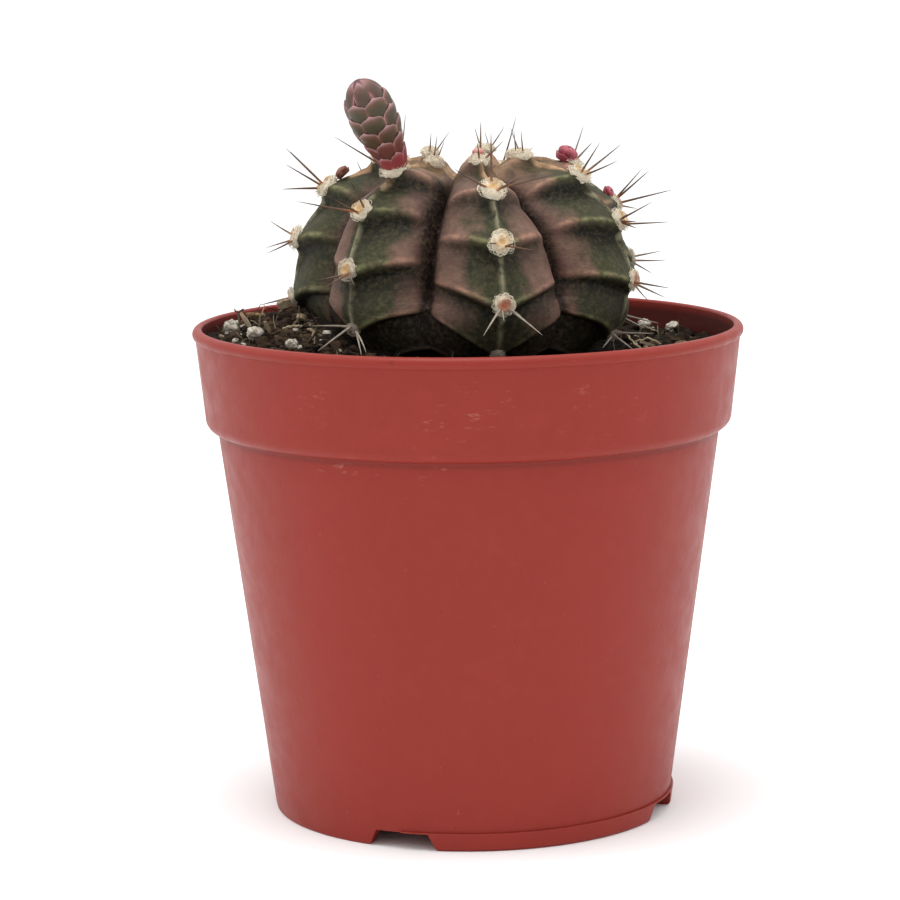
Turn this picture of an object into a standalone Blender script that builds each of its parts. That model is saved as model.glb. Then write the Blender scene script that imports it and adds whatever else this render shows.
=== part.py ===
"""Potted round cactus.

A ribbed globe cactus in a round nursery pot. The moulded pot holds the soil, and the soil
holds the stem by its buried base. Woolly areoles with their spines sit along the ribs, flower
buds rise from some of them, and grit lies on the soil. Units are metres, +Z is up, and the
origin is on the pot's axis at the level that it stands on.
"""

import math
import random

import bmesh
import bpy
from mathutils import Matrix, Vector, noise

MM = 0.001
SEED = 7

# Gap between two pieces that touch in the real object.
FIT_GAP = 0.3 * MM

# Pot: outside sizes, from the rim down.
RIM_RADIUS = 42.5 * MM
POT_HEIGHT = 75.6 * MM
POT_WALL = 1.0 * MM
LIP_HEIGHT = 1.9 * MM
LIP_PROUD = 0.5 * MM
BAND_HEIGHT = 15.8 * MM
BAND_STEP = 1.85 * MM
BAND_DRAFT = 0.108
WALL_DRAFT = 0.1335
FLOOR_THICKNESS = 1.25 * MM
POT_STEPS = 60

# Foot: the ring that the pot stands on, with its drain notches and holes.
FOOT_HEIGHT = 2.8 * MM
FOOT_WIDTH = 2.4 * MM
FOOT_SHIFT = 0.2 * MM
FOOT_SHIFT_AZIMUTH = 55
NOTCH_COUNT = 4
NOTCH_AZIMUTH = -20
NOTCH_WIDTH = 8.4 * MM
NOTCH_FLARE = 1.3 * MM
DRAIN_RADIUS = 3.0 * MM
DRAIN_CIRCLE_SHARE = 0.62

# Soil: its level below the rim and the heap against the stem.
SOIL_BELOW_RIM = 4.2 * MM
SOIL_ROUGHNESS = 0.5 * MM
HEAP_HEIGHT = 6.2 * MM
HEAP_AZIMUTH = -85
HEAP_SPREAD = 42
HEAP_AT_WALL = 0.4
SOIL_STEPS = 44
SOIL_RINGS = 8

# Stem: a ribbed globe, widest at WAIST_ABOVE_SOIL, with a sunken crown and a short root.
STEM_CENTRE = (-0.4 * MM, 1.0 * MM)
STEM_RADIUS = 26.1 * MM
WAIST_ABOVE_SOIL = 9.6 * MM
CROWN_HEIGHT = 21.2 * MM
BASE_DEPTH = 15.0 * MM
CROWN_FULLNESS = 2.5
BASE_FULLNESS = 1.8
CROWN_DIP = 5.0 * MM
CROWN_DIP_RADIUS = 6.5 * MM
RIB_AZIMUTHS = {"a": -90, "b": -42, "c": 12.5, "d": 69, "e": 110, "f": 163, "g": 217}
RIB_REACH = {"a": 1.0, "b": 0.985, "c": 1.0, "d": 1.025, "e": 1.035, "f": 0.99, "g": 1.0}
RIB_DEPTH = 6.2 * MM
RIB_POWER = 1.8
VALLEY_FILL = 0.5
VALLEY_FILL_START = 34.0 * MM
VALLEY_FILL_LENGTH = 16.0 * MM
CHIN_HEIGHT = 0.7 * MM
CHIN_LENGTH = 2.4 * MM
ROOT_RADIUS = 4.5 * MM
ROOT_LENGTH = 12.0 * MM
STEM_SEGMENTS = 70
STEM_RINGS = 24
ROOT_RINGS = 3

# Areoles: wool cushions along each rib, at these distances from the crown's centre.
FIRST_AREOLE = {
    "a": 13.6 * MM,
    "b": 7.6 * MM,
    "c": 12.3 * MM,
    "d": 10.5 * MM,
    "e": 9.2 * MM,
    "f": 12.5 * MM,
    "g": 9.5 * MM,
}
AREOLE_SPACING = 9.0 * MM
AREOLE_ABOVE_SOIL = 1.2 * MM
WOOL_RADIUS = 1.9 * MM
WOOL_HEIGHT = 1.5 * MM
YOUNG_WOOL_SHARE = 0.75

# Spines: straight tapered needles, a few to each areole.
SPINE_LENGTH = 7.6 * MM
YOUNG_SPINE_SHARE = 0.5
SPINE_RADIUS = 0.2 * MM
SPINE_TIP_RADIUS = 0.04 * MM
SPINE_SIDES = 4
SPINE_SPREAD = 120
BUD_SPINE_SPREAD = 65
UPPER_SPINE_LIFT = (52, 68)
LOWER_SPINE_LIFT = (34, 46)

# Buds: the areole that each one rises from, its length, its width and how far it leans out.
BUDS = {
    "flower_bud": ("b2", 15.8 * MM, 8.1 * MM, 5),
    "red_bud": ("e2", 3.2 * MM, 3.0 * MM, 0),
    "young_bud_left": ("a2", 2.4 * MM, 1.8 * MM, 0),
    "young_bud_top": ("c1", 2.2 * MM, 1.8 * MM, 0),
    "young_bud_right": ("e3", 2.0 * MM, 1.7 * MM, 0),
}
BUD_SET_BACK = 1.2 * MM
BUD_NECK_SHARE = 0.5
BUD_SCALE_RELIEF = 0.04
BUD_SEGMENTS = 18
BUD_RINGS = 11

# Grit: perlite grains and bark chips on the soil, as azimuth, distance from the axis, size.
PERLITE = (
    (-84, 36.3, 2.6),
    (-67, 34.7, 2.8),
    (-54, 32.4, 2.2),
    (128, 36.0, 2.4),
    (119, 37.5, 2.4),
    (-150, 33.0, 2.4),
    (30, 35.0, 2.2),
    (165, 34.5, 2.2),
)
BARK = (
    (-100, 33.5, 3.8),
    (84, 33.0, 4.0),
    (-20, 34.5, 4.0),
    (-175, 35.5, 5.0),
)

PARTS_COLLECTION = "potted_round_cactus"
CUTTERS_COLLECTION = "cutters"

# Sizes worked out from the driving ones.
LIP_RADIUS = LIP_HEIGHT / 2
BAND_TOP_RADIUS = RIM_RADIUS - LIP_PROUD
BAND_TOP = POT_HEIGHT - LIP_HEIGHT
BAND_BOTTOM = POT_HEIGHT - BAND_HEIGHT
FLOOR_BOTTOM = FOOT_HEIGHT - 0.05 * MM
FLOOR_TOP = FLOOR_BOTTOM + FLOOR_THICKNESS
SOIL_LEVEL = POT_HEIGHT - SOIL_BELOW_RIM
WAIST = SOIL_LEVEL + WAIST_ABOVE_SOIL


def clear_scene():
    for old in list(bpy.data.objects):
        bpy.data.objects.remove(old, do_unlink=True)


def new_collection(name):
    collection = bpy.data.collections.new(name)
    bpy.context.scene.collection.children.link(collection)
    return collection


def new_material(name, colour, roughness):
    material = bpy.data.materials.new(name)
    material.use_nodes = True
    shader = material.node_tree.nodes["Principled BSDF"]
    shader.inputs["Base Color"].default_value = (*colour, 1.0)
    shader.inputs["Roughness"].default_value = roughness
    shader.inputs["Metallic"].default_value = 0.0
    return material


def add_object(name, mesh, collection, material=None):
    made = bpy.data.objects.new(name, mesh)
    collection.objects.link(made)
    if material:
        mesh.materials.append(material)
        mesh.shade_smooth()
        mesh.set_sharp_from_angle(angle=math.radians(35))
    else:
        made.hide_render = True
        made.display_type = "WIRE"
    return made


def mesh_from(shape, name):
    bmesh.ops.recalc_face_normals(shape, faces=shape.faces)
    mesh = bpy.data.meshes.new(name)
    shape.to_mesh(mesh)
    shape.free()
    return mesh


def outward(azimuth):
    """The level direction at an azimuth in degrees: 0 is -Y, 90 is +X."""
    turn = math.radians(azimuth)
    return Vector((math.sin(turn), -math.cos(turn), 0.0))


def boolean(target, cutter, operation="DIFFERENCE", own_overlaps=False):
    modifier = target.modifiers.new(f"{operation.lower()} {cutter.name}", "BOOLEAN")
    modifier.object = cutter
    modifier.operation = operation
    modifier.solver = "EXACT"
    modifier.use_self = own_overlaps


def turned(name, profile, steps, collection, material=None):
    """A closed shape turned about Z from a profile that runs down its outer side."""
    mesh = bpy.data.meshes.new(name)
    points = [(radius, 0.0, height) for radius, height in profile]
    edges = [(i, i + 1) for i in range(len(points) - 1)]
    if profile[0][0] > 0:
        edges.append((len(points) - 1, 0))
    mesh.from_pydata(points, edges, [])
    made = add_object(name, mesh, collection, material)
    screw = made.modifiers.new("turn", "SCREW")
    screw.steps = steps
    screw.render_steps = steps
    screw.use_merge_vertices = True
    screw.merge_threshold = 0.00001
    screw.use_smooth_shade = True
    return made


# Pot


def band_radius(height):
    return BAND_TOP_RADIUS - BAND_DRAFT * (BAND_TOP - height)


def wall_top_radius():
    return band_radius(BAND_BOTTOM + BAND_STEP) - BAND_STEP


def wall_radius(height):
    return wall_top_radius() - WALL_DRAFT * (BAND_BOTTOM - height)


def arc(centre_radius, centre_height, radius, start, stop, steps):
    for i in range(steps + 1):
        angle = math.radians(start + (stop - start) * i / steps)
        yield centre_radius + radius * math.cos(angle), centre_height + radius * math.sin(angle)


def pot_profile():
    lip_end = -math.degrees(math.acos(1 - LIP_PROUD / LIP_RADIUS))
    lip_centre = (RIM_RADIUS - LIP_RADIUS, POT_HEIGHT - LIP_RADIUS)
    corner_centre = (wall_top_radius(), BAND_BOTTOM + BAND_STEP)
    profile = list(arc(*lip_centre, LIP_RADIUS, 90, lip_end, 5))
    profile += list(arc(*corner_centre, BAND_STEP, 0, -90, 4))
    profile.append((wall_radius(FLOOR_BOTTOM), FLOOR_BOTTOM))
    profile.append((0.0, FLOOR_BOTTOM))
    profile.append((0.0, FLOOR_TOP))
    profile.append((wall_radius(FLOOR_TOP) - POT_WALL, FLOOR_TOP))
    profile.append((wall_radius(BAND_BOTTOM) - POT_WALL, BAND_BOTTOM))
    profile.append((band_radius(BAND_BOTTOM + BAND_STEP) - POT_WALL, BAND_BOTTOM + BAND_STEP))
    profile.append((BAND_TOP_RADIUS - POT_WALL, BAND_TOP + LIP_RADIUS))
    return profile


def foot_profile():
    outer_top = wall_radius(FOOT_HEIGHT) + 0.05 * MM
    outer_bottom = outer_top - WALL_DRAFT * FOOT_HEIGHT
    inner = outer_bottom - FOOT_WIDTH
    seat = outer_top - 0.7 * MM
    edge = 0.3 * MM
    return [
        (seat, FLOOR_BOTTOM + 0.5 * FLOOR_THICKNESS),
        (seat, FOOT_HEIGHT),
        (outer_top, FOOT_HEIGHT),
        (outer_bottom, edge),
        (outer_bottom - edge, 0.0),
        (inner, 0.0),
        (inner, FLOOR_BOTTOM + 0.5 * FLOOR_THICKNESS),
    ]


def notch_cutter(number, cutters):
    """A wedge with flared sides that opens the foot ring from outside to inside."""
    azimuth = NOTCH_AZIMUTH + number * 360 / NOTCH_COUNT
    top = FOOT_HEIGHT - 0.2 * MM
    below = -1.0 * MM
    half_top = NOTCH_WIDTH / 2
    half_below = half_top + NOTCH_FLARE * (top - below) / top
    inner = wall_radius(0) - 2 * FOOT_WIDTH
    outer = wall_radius(0) + 2 * FOOT_WIDTH
    side = outward(azimuth + 90)
    shape = bmesh.new()
    rings = []
    for distance in (inner, outer):
        corners = ((-half_below, below), (half_below, below), (half_top, top), (-half_top, top))
        middle = outward(azimuth) * distance
        rings.append([shape.verts.new(middle + side * x + Vector((0, 0, z))) for x, z in corners])
    shape.faces.new(rings[0])
    shape.faces.new(rings[1])
    for i in range(4):
        j = (i + 1) % 4
        shape.faces.new((rings[0][i], rings[0][j], rings[1][j], rings[1][i]))
    return add_object(f"notch_cutter_{number + 1}", mesh_from(shape, "notch"), cutters)


def drain_cutter(name, place, cutters):
    shape = bmesh.new()
    bmesh.ops.create_cone(
        shape,
        cap_ends=True,
        segments=14,
        radius1=DRAIN_RADIUS,
        radius2=DRAIN_RADIUS,
        depth=6 * FLOOR_THICKNESS,
        matrix=Matrix.Translation(place + Vector((0, 0, FLOOR_TOP))),
    )
    return add_object(name, mesh_from(shape, name), cutters)


def build_pot(parts, cutters):
    material = new_material("terracotta plastic", (0.33, 0.05, 0.035), 0.42)
    pot = turned("pot", pot_profile(), POT_STEPS, parts, material)
    foot = turned("foot_ring", foot_profile(), POT_STEPS, cutters)
    foot.location = outward(FOOT_SHIFT_AZIMUTH) * FOOT_SHIFT
    boolean(pot, foot, "UNION")
    for number in range(NOTCH_COUNT):
        boolean(pot, notch_cutter(number, cutters))
        place = outward(NOTCH_AZIMUTH + number * 360 / NOTCH_COUNT) * wall_radius(0) * DRAIN_CIRCLE_SHARE
        boolean(pot, drain_cutter(f"drain_cutter_{number + 1}", place, cutters))
    boolean(pot, drain_cutter("drain_cutter_centre", Vector((0, 0, 0)), cutters))


# Stem


def superellipse(share, fullness):
    return (1 - share**fullness) ** (1 / fullness)


def crest_point(turn):
    """Radius and height of the rib crest, from 0 at the crown's centre to 1 at the base."""
    angle = turn * math.pi
    upper = angle <= math.pi / 2
    fullness = CROWN_FULLNESS if upper else BASE_FULLNESS
    radius = STEM_RADIUS * math.sin(angle) ** (2 / fullness)
    rise = CROWN_HEIGHT if upper else -BASE_DEPTH
    height = WAIST + rise * abs(math.cos(angle)) ** (2 / fullness)
    if upper:
        height -= CROWN_DIP * math.exp(-((radius / CROWN_DIP_RADIUS) ** 2))
    return Vector((radius, height))


CREST_SAMPLES = 600


def crest_table():
    """Crest points with their distance from the crown's centre, down to the root."""
    rows = []
    travelled = 0.0
    last = crest_point(0.0)
    for i in range(CREST_SAMPLES):
        turn = i / CREST_SAMPLES
        point = crest_point(turn)
        if turn > 0.5 and point.x < ROOT_RADIUS:
            break
        travelled += (point - last).length
        last = point
        rows.append((travelled, point))
    return rows


CREST = crest_table()


def crest_at(distance):
    """Crest point and its outward normal at a distance along the crest."""
    index = next((i for i, row in enumerate(CREST) if row[0] >= distance), len(CREST) - 2)
    index = min(max(index, 1), len(CREST) - 2)
    along = (CREST[index + 1][1] - CREST[index - 1][1]).normalized()
    return CREST[index][1], Vector((-along.y, along.x))


def areole_distances(rib):
    distance = FIRST_AREOLE[rib]
    while distance < CREST[-1][0]:
        yield distance
        distance += AREOLE_SPACING


def rib_position(azimuth):
    """The nearest rib, how far an azimuth is from its crest (1 in the valley), and the reach there."""
    ribs = sorted(RIB_AZIMUTHS.items(), key=lambda item: item[1])
    first, last = ribs[0], ribs[-1]
    ring = [(last[0], last[1] - 360), *ribs, (first[0], first[1] + 360)]
    azimuth = (azimuth - first[1]) % 360 + first[1]
    for (left, start), (right, stop) in zip(ring, ring[1:]):
        if start <= azimuth <= stop:
            share = (azimuth - start) / (stop - start)
            blend = share * share * (3 - 2 * share)
            reach = RIB_REACH[left] * (1 - blend) + RIB_REACH[right] * blend
            return (left, 2 * share, reach) if share < 0.5 else (right, 2 - 2 * share, reach)
    return first[0], 0.0, RIB_REACH[first[0]]


def chin(rib, distance, sideways):
    """The swelling below each areole, highest on the crest."""
    rise = 0.0
    for place in areole_distances(rib):
        rise += math.exp(-(((distance - place - CHIN_LENGTH) / CHIN_LENGTH) ** 2))
    return CHIN_HEIGHT * rise * (1 - sideways) ** 2


def stem_point(azimuth, distance, clearance):
    rib, sideways, reach = rib_position(azimuth)
    crest, normal = crest_at(distance)
    depth = RIB_DEPTH * math.sin(min(1.0, crest.x / (0.8 * STEM_RADIUS)) * math.pi / 2)
    depth *= 1 - VALLEY_FILL * min(1.0, max(0.0, (distance - VALLEY_FILL_START) / VALLEY_FILL_LENGTH))
    depth = min(depth, max(0.0, crest.x - 0.6 * ROOT_RADIUS))
    offset = chin(rib, distance, sideways) - depth * sideways**RIB_POWER + clearance
    spot = crest + normal * offset
    return outward(azimuth) * max(spot.x, 0.0) * reach + Vector((*STEM_CENTRE, spot.y))


def stem_mesh(name, clearance):
    """The ribbed globe and its short root, as rings from the crown's centre down."""
    shape = bmesh.new()
    length = CREST[-1][0]
    rings = []
    for i in range(1, STEM_RINGS + 1):
        distance = length * i / STEM_RINGS
        rings.append(
            [shape.verts.new(stem_point(360 * k / STEM_SEGMENTS, distance, clearance)) for k in range(STEM_SEGMENTS)]
        )
    neck_height = CREST[-1][1].y
    for i in range(1, ROOT_RINGS + 1):
        share = i / ROOT_RINGS
        radius = ROOT_RADIUS * (1 - 0.45 * share) * 0.8 + clearance
        height = neck_height - ROOT_LENGTH * share - clearance
        centre = Vector((*STEM_CENTRE, height))
        rings.append(
            [shape.verts.new(outward(360 * k / STEM_SEGMENTS) * radius + centre) for k in range(STEM_SEGMENTS)]
        )
    for upper, lower in zip(rings, rings[1:]):
        for k in range(STEM_SEGMENTS):
            j = (k + 1) % STEM_SEGMENTS
            shape.faces.new((upper[k], lower[k], lower[j], upper[j]))
    top = shape.verts.new(Vector((*STEM_CENTRE, crest_point(0.0).y + clearance)))
    bottom = shape.verts.new(Vector((*STEM_CENTRE, rings[-1][0].co.z)))
    for k in range(STEM_SEGMENTS):
        j = (k + 1) % STEM_SEGMENTS
        shape.faces.new((top, rings[0][k], rings[0][j]))
        shape.faces.new((bottom, rings[-1][j], rings[-1][k]))
    return mesh_from(shape, name)


def build_stem(parts, cutters):
    material = new_material("stem skin", (0.09, 0.08, 0.045), 0.5)
    add_object("stem", stem_mesh("stem", 0.0), parts, material)
    return add_object("stem_clearance", stem_mesh("stem_clearance", FIT_GAP), cutters)


# Soil


def soil_height(azimuth, radius):
    """The soil's surface: level, with a heap against the stem and small lumps."""
    away = (azimuth - HEAP_AZIMUTH + 180) % 360 - 180
    room = wall_radius(BAND_BOTTOM) - STEM_RADIUS
    near = min(1.0, max(0.0, (STEM_RADIUS + room - radius) / room))
    near = HEAP_AT_WALL + (1 - HEAP_AT_WALL) * near
    heap = HEAP_HEIGHT * near * math.exp(-((away / HEAP_SPREAD) ** 2))
    spot = outward(azimuth) * radius / (6 * MM)
    return SOIL_LEVEL + heap + SOIL_ROUGHNESS * noise.noise(spot)


def build_soil(parts, stem_clearance):
    """Soil that fills the pot to its level, with a pocket for the buried base of the stem."""
    material = new_material("potting soil", (0.035, 0.025, 0.018), 0.95)
    shape = bmesh.new()
    fit = POT_WALL + FIT_GAP
    floor = FLOOR_TOP + FIT_GAP
    sides = [
        (wall_radius(floor) - fit, floor),
        (wall_radius(BAND_BOTTOM) - fit - BAND_DRAFT * BAND_STEP, BAND_BOTTOM),
        (band_radius(BAND_BOTTOM + 2 * BAND_STEP) - fit, BAND_BOTTOM + 2 * BAND_STEP),
    ]
    edge = band_radius(SOIL_LEVEL - HEAP_HEIGHT / 4) - fit
    azimuths = [360 * k / SOIL_STEPS for k in range(SOIL_STEPS)]
    rings = [[shape.verts.new(outward(a) * r + Vector((0, 0, z))) for a in azimuths] for r, z in sides]
    for i in range(SOIL_RINGS):
        radius = edge * (1 - i / SOIL_RINGS)
        rings.append(
            [shape.verts.new(outward(a) * radius + Vector((0, 0, soil_height(a, radius)))) for a in azimuths]
        )
    for lower, upper in zip(rings, rings[1:]):
        for k in range(SOIL_STEPS):
            j = (k + 1) % SOIL_STEPS
            shape.faces.new((lower[k], lower[j], upper[j], upper[k]))
    bottom = shape.verts.new((0, 0, floor))
    top = shape.verts.new((0, 0, soil_height(0, 0)))
    for k in range(SOIL_STEPS):
        j = (k + 1) % SOIL_STEPS
        shape.faces.new((bottom, rings[0][j], rings[0][k]))
        shape.faces.new((top, rings[-1][k], rings[-1][j]))
    soil = add_object("soil", mesh_from(shape, "soil"), parts, material)
    boolean(soil, stem_clearance)


# Areoles, spines and buds


def areole_frame(rib, distance):
    """Axes at an areole: X along the skin sideways, Y towards the crown, Z out of the skin."""
    point, normal = crest_at(distance)
    azimuth = RIB_AZIMUTHS[rib]
    lift = chin(rib, distance, 0.0)
    out = outward(azimuth)
    across = outward(azimuth + 90)
    up = Vector((0, 0, 1))
    skin_normal = out * normal.x + up * normal.y
    towards_crown = skin_normal.cross(across)
    origin = out * point.x * RIB_REACH[rib] + Vector((*STEM_CENTRE, point.y)) + skin_normal * lift
    frame = Matrix((across, towards_crown, skin_normal)).transposed().to_4x4()
    return Matrix.Translation(origin) @ frame


def listed_areoles():
    """Every areole above the soil: its name, rib, number on the rib and place."""
    found = []
    for rib in sorted(RIB_AZIMUTHS):
        for number, distance in enumerate(areole_distances(rib), start=1):
            frame = areole_frame(rib, distance)
            place = frame.translation - Vector((*STEM_CENTRE, 0))
            surface = soil_height(RIB_AZIMUTHS[rib], Vector(place.xy).length)
            if place.z - surface < AREOLE_ABOVE_SOIL + WOOL_RADIUS / 2:
                break
            found.append((f"{rib}{number}", number, frame))
    return found


def spine_direction(clock, lift):
    """Clock is the direction along the skin, 0 to the crown and 90 to the side; lift is off the skin."""
    turn, tilt = math.radians(clock), math.radians(lift)
    return Vector((math.cos(tilt) * math.sin(turn), math.cos(tilt) * math.cos(turn), math.sin(tilt)))


def reaches_soil(frame, along, length):
    tip = frame @ (along * (length + WOOL_HEIGHT))
    azimuth = math.degrees(math.atan2(tip.x, -tip.y))
    return tip.z < soil_height(azimuth, Vector(tip.xy).length) + WOOL_HEIGHT


def add_spine(shape, frame, clock, lift, length):
    """A tapered needle, turned up towards the crown where it would run into the soil."""
    along = spine_direction(clock, lift)
    if reaches_soil(frame, along, length):
        along = spine_direction(180 - clock, lift)
    root = Vector((0, 0, 0.35 * WOOL_HEIGHT))
    facing = along.to_track_quat("Z", "Y").to_matrix().to_4x4()
    place = frame @ Matrix.Translation(root + along * length / 2) @ facing
    bmesh.ops.create_cone(
        shape,
        cap_ends=True,
        segments=SPINE_SIDES,
        radius1=SPINE_RADIUS,
        radius2=SPINE_TIP_RADIUS,
        depth=length,
        matrix=place,
    )


def spine_fan(number, has_bud, chance):
    """Directions of one areole's spines: raised near the crown, spread down the flanks below."""
    count = 2 if number == 1 else 4
    spread = BUD_SPINE_SPREAD if has_bud else SPINE_SPREAD
    share = YOUNG_SPINE_SHARE if number == 1 else 1.0
    for i in range(count):
        clock = 180 - spread + 2 * spread * i / (count - 1) + chance.uniform(-10, 10)
        lift = chance.uniform(*(UPPER_SPINE_LIFT if number < 4 else LOWER_SPINE_LIFT))
        yield clock, lift, SPINE_LENGTH * share * chance.uniform(0.82, 1.05)


def build_areole(name, number, frame, chance, parts, material, stem_clearance, bud_clearance):
    shape = bmesh.new()
    size = YOUNG_WOOL_SHARE if number == 1 else 1.0
    wool = frame @ Matrix.Diagonal((WOOL_RADIUS * size, WOOL_RADIUS * size, WOOL_HEIGHT * size, 1.0))
    bmesh.ops.create_icosphere(shape, subdivisions=2, radius=1.0, matrix=wool)
    for clock, lift, length in spine_fan(number, bool(bud_clearance), chance):
        add_spine(shape, frame, clock, lift, length)
    areole = add_object(f"areole_{name}", mesh_from(shape, name), parts, material)
    boolean(areole, stem_clearance, own_overlaps=True)
    if bud_clearance:
        boolean(areole, bud_clearance)


def bud_mesh(name, frame, length, width, lean, clearance):
    """A club-shaped bud with rows of overlapping scales, on a narrow neck."""
    shape = bmesh.new()
    bmesh.ops.create_uvsphere(shape, u_segments=BUD_SEGMENTS, v_segments=BUD_RINGS, radius=1.0)
    for vertex in shape.verts:
        along = (vertex.co.z + 1) / 2
        neck = BUD_NECK_SHARE + (1 - BUD_NECK_SHARE) * math.sin(min(1.0, along / 0.6) * math.pi / 2) ** 2
        turn = math.atan2(vertex.co.y, vertex.co.x)
        row = along * 5
        scales = abs(math.sin(turn * 3 + math.pi * 0.5 * math.floor(row)))
        relief = 1 + BUD_SCALE_RELIEF * scales * math.sin(math.pi * (row % 1.0))
        reach = Vector(vertex.co.xy) * neck * relief * (width / 2 + clearance)
        vertex.co = Vector((reach.x, reach.y, along * (length + clearance)))
    base = Vector((0, BUD_SET_BACK, WOOL_HEIGHT * 0.5))
    tilt = Matrix.Rotation(math.radians(lean), 4, "X")
    shape.transform(frame @ Matrix.Translation(base) @ tilt)
    return mesh_from(shape, name)


def build_buds(frames, stem_clearance, parts, cutters):
    """The buds, and for each areole that has one, the cutter that its wool makes way with."""
    making_way = {}
    materials = {
        "flower_bud": new_material("bud scales", (0.16, 0.07, 0.045), 0.5),
        "red_bud": new_material("bud red", (0.3, 0.03, 0.05), 0.4),
    }
    for name, (areole, length, width, lean) in BUDS.items():
        material = materials.get(name, materials["red_bud"])
        shape = (frames[areole], length, width, lean)
        bud = add_object(name, bud_mesh(name, *shape, 0.0), parts, material)
        boolean(bud, stem_clearance)
        making_way[areole] = add_object(f"{name}_clearance", bud_mesh(name, *shape, FIT_GAP), cutters)
    return making_way


# Grit


def add_grain(name, azimuth, radius, size, stretch, parts, material, chance):
    """A lumpy grain that lies on the soil, clear of its highest point underneath."""
    grain = bmesh.new()
    bmesh.ops.create_icosphere(grain, subdivisions=1, radius=0.5)
    for vertex in grain.verts:
        vertex.co *= chance.uniform(0.85, 1.1)
    turn = Matrix.Rotation(chance.uniform(0, math.tau), 4, "Z")
    grain.transform(turn @ Matrix.Diagonal((size * stretch, size, size * 0.75, 1.0)))
    lowest = min(vertex.co.z for vertex in grain.verts)
    reach = size * stretch / 2
    under = max(soil_height(azimuth, radius + step * reach) for step in (-1, -0.5, 0, 0.5, 1))
    lift = under - lowest + FIT_GAP + SOIL_ROUGHNESS / 2
    grain.transform(Matrix.Translation(outward(azimuth) * radius + Vector((0, 0, lift))))
    add_object(name, mesh_from(grain, name), parts, material)


def build_grit(parts, chance):
    perlite = new_material("perlite", (0.75, 0.73, 0.68), 0.9)
    bark = new_material("bark chip", (0.25, 0.16, 0.09), 0.9)
    for number, (azimuth, radius, size) in enumerate(PERLITE, start=1):
        add_grain(f"perlite_{number}", azimuth, radius * MM, size * MM, 1.1, parts, perlite, chance)
    for number, (azimuth, radius, size) in enumerate(BARK, start=1):
        add_grain(f"bark_chip_{number}", azimuth, radius * MM, size * MM / 2, 2.0, parts, bark, chance)


def main():
    clear_scene()
    chance = random.Random(SEED)
    parts = new_collection(PARTS_COLLECTION)
    cutters = new_collection(CUTTERS_COLLECTION)
    build_pot(parts, cutters)
    stem_clearance = build_stem(parts, cutters)
    build_soil(parts, stem_clearance)
    areoles = listed_areoles()
    frames = {name: frame for name, _, frame in areoles}
    making_way = build_buds(frames, stem_clearance, parts, cutters)
    wool = new_material("areole wool", (0.72, 0.62, 0.42), 0.95)
    for name, number, frame in areoles:
        build_areole(name, number, frame, chance, parts, wool, stem_clearance, making_way.get(name))
    build_grit(parts, chance)


main()
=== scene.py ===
"""Looks of the potted round cactus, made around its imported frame.

Lengths are in millimetres and azimuths in degrees, 0 towards -Y and 90 towards +X. They turn
into metres where a mesh is made.
"""

import math
import random

import bmesh
import bpy
import numpy as np
from mathutils import Matrix, Vector, noise


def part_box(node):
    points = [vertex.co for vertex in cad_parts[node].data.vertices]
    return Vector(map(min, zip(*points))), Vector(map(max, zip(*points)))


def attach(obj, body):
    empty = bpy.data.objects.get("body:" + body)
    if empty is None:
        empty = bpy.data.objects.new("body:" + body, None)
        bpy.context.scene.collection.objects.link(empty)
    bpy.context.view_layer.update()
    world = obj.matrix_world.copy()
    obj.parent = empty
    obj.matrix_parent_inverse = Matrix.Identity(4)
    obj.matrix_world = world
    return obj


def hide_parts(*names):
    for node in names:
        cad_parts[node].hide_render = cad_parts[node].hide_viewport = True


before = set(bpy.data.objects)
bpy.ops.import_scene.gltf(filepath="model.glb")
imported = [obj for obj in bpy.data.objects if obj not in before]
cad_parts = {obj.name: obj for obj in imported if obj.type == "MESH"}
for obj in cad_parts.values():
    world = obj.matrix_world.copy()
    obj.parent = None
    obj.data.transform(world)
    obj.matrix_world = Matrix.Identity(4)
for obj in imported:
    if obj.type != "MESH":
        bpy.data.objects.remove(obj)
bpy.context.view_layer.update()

MM = 0.001
chance = random.Random(20)
POT_LOW, POT_HIGH = (np.array(corner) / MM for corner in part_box("pot"))

# Pot
RIM_RADIUS = POT_HIGH[0]
POT_HEIGHT = POT_HIGH[2]
POT_WALL = 1.0
LIP_RADIUS = 0.95
LIP_PROUD = 0.5
INNER_LIP = 0.45
BAND_HEIGHT = 15.8
BAND_STEP = 1.85
BAND_DRAFT = 0.108
WALL_DRAFT = 0.1335
BAND_TOP_RADIUS = RIM_RADIUS - LIP_PROUD
BAND_TOP = POT_HEIGHT - 2 * LIP_RADIUS
BAND_BOTTOM = POT_HEIGHT - BAND_HEIGHT
FOOT_HEIGHT = 2.8
FOOT_WIDTH = 2.4
SKIRT_PROUD = 0.42
SKIRT_START = -20
SKIRT_STOP = 160
SKIRT_STEPS = 120
NOTCH_COUNT = 4
NOTCH_AZIMUTH = -20
NOTCH_WIDTH = 8.4
NOTCH_FLARE = 1.3
DRAIN_RADIUS = 3.0
DRAIN_CIRCLE_SHARE = 0.62
FLOOR_BOTTOM = FOOT_HEIGHT - 0.05
FLOOR_TOP = FLOOR_BOTTOM + 1.25
POT_SEGMENTS = 240
# Heights where the soft lower and upper edge of each marked zone start and end.
SCUFFED_BAND = ((60.0, 61.5), (73.5, 70.5))
SCUFFED_WALL = ((55.5, 58.2), (59.7, 59.0))
SHADED_GROOVE = ((58.6, 59.4), (60.3, 59.9))

# Soil
SOIL_LEVEL = POT_HEIGHT - 4.2
HEAP_HEIGHT = 6.2
HEAP_AT_WALL = 0.4
HEAP_AZIMUTH = -85
HEAP_SPREAD = 42
SOIL_SEGMENTS = 300
SOIL_RINGS = 75
CRUMBS = 2300
SHARDS = 230
FIBRES = 420
SMALL_PERLITE = 46
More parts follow.
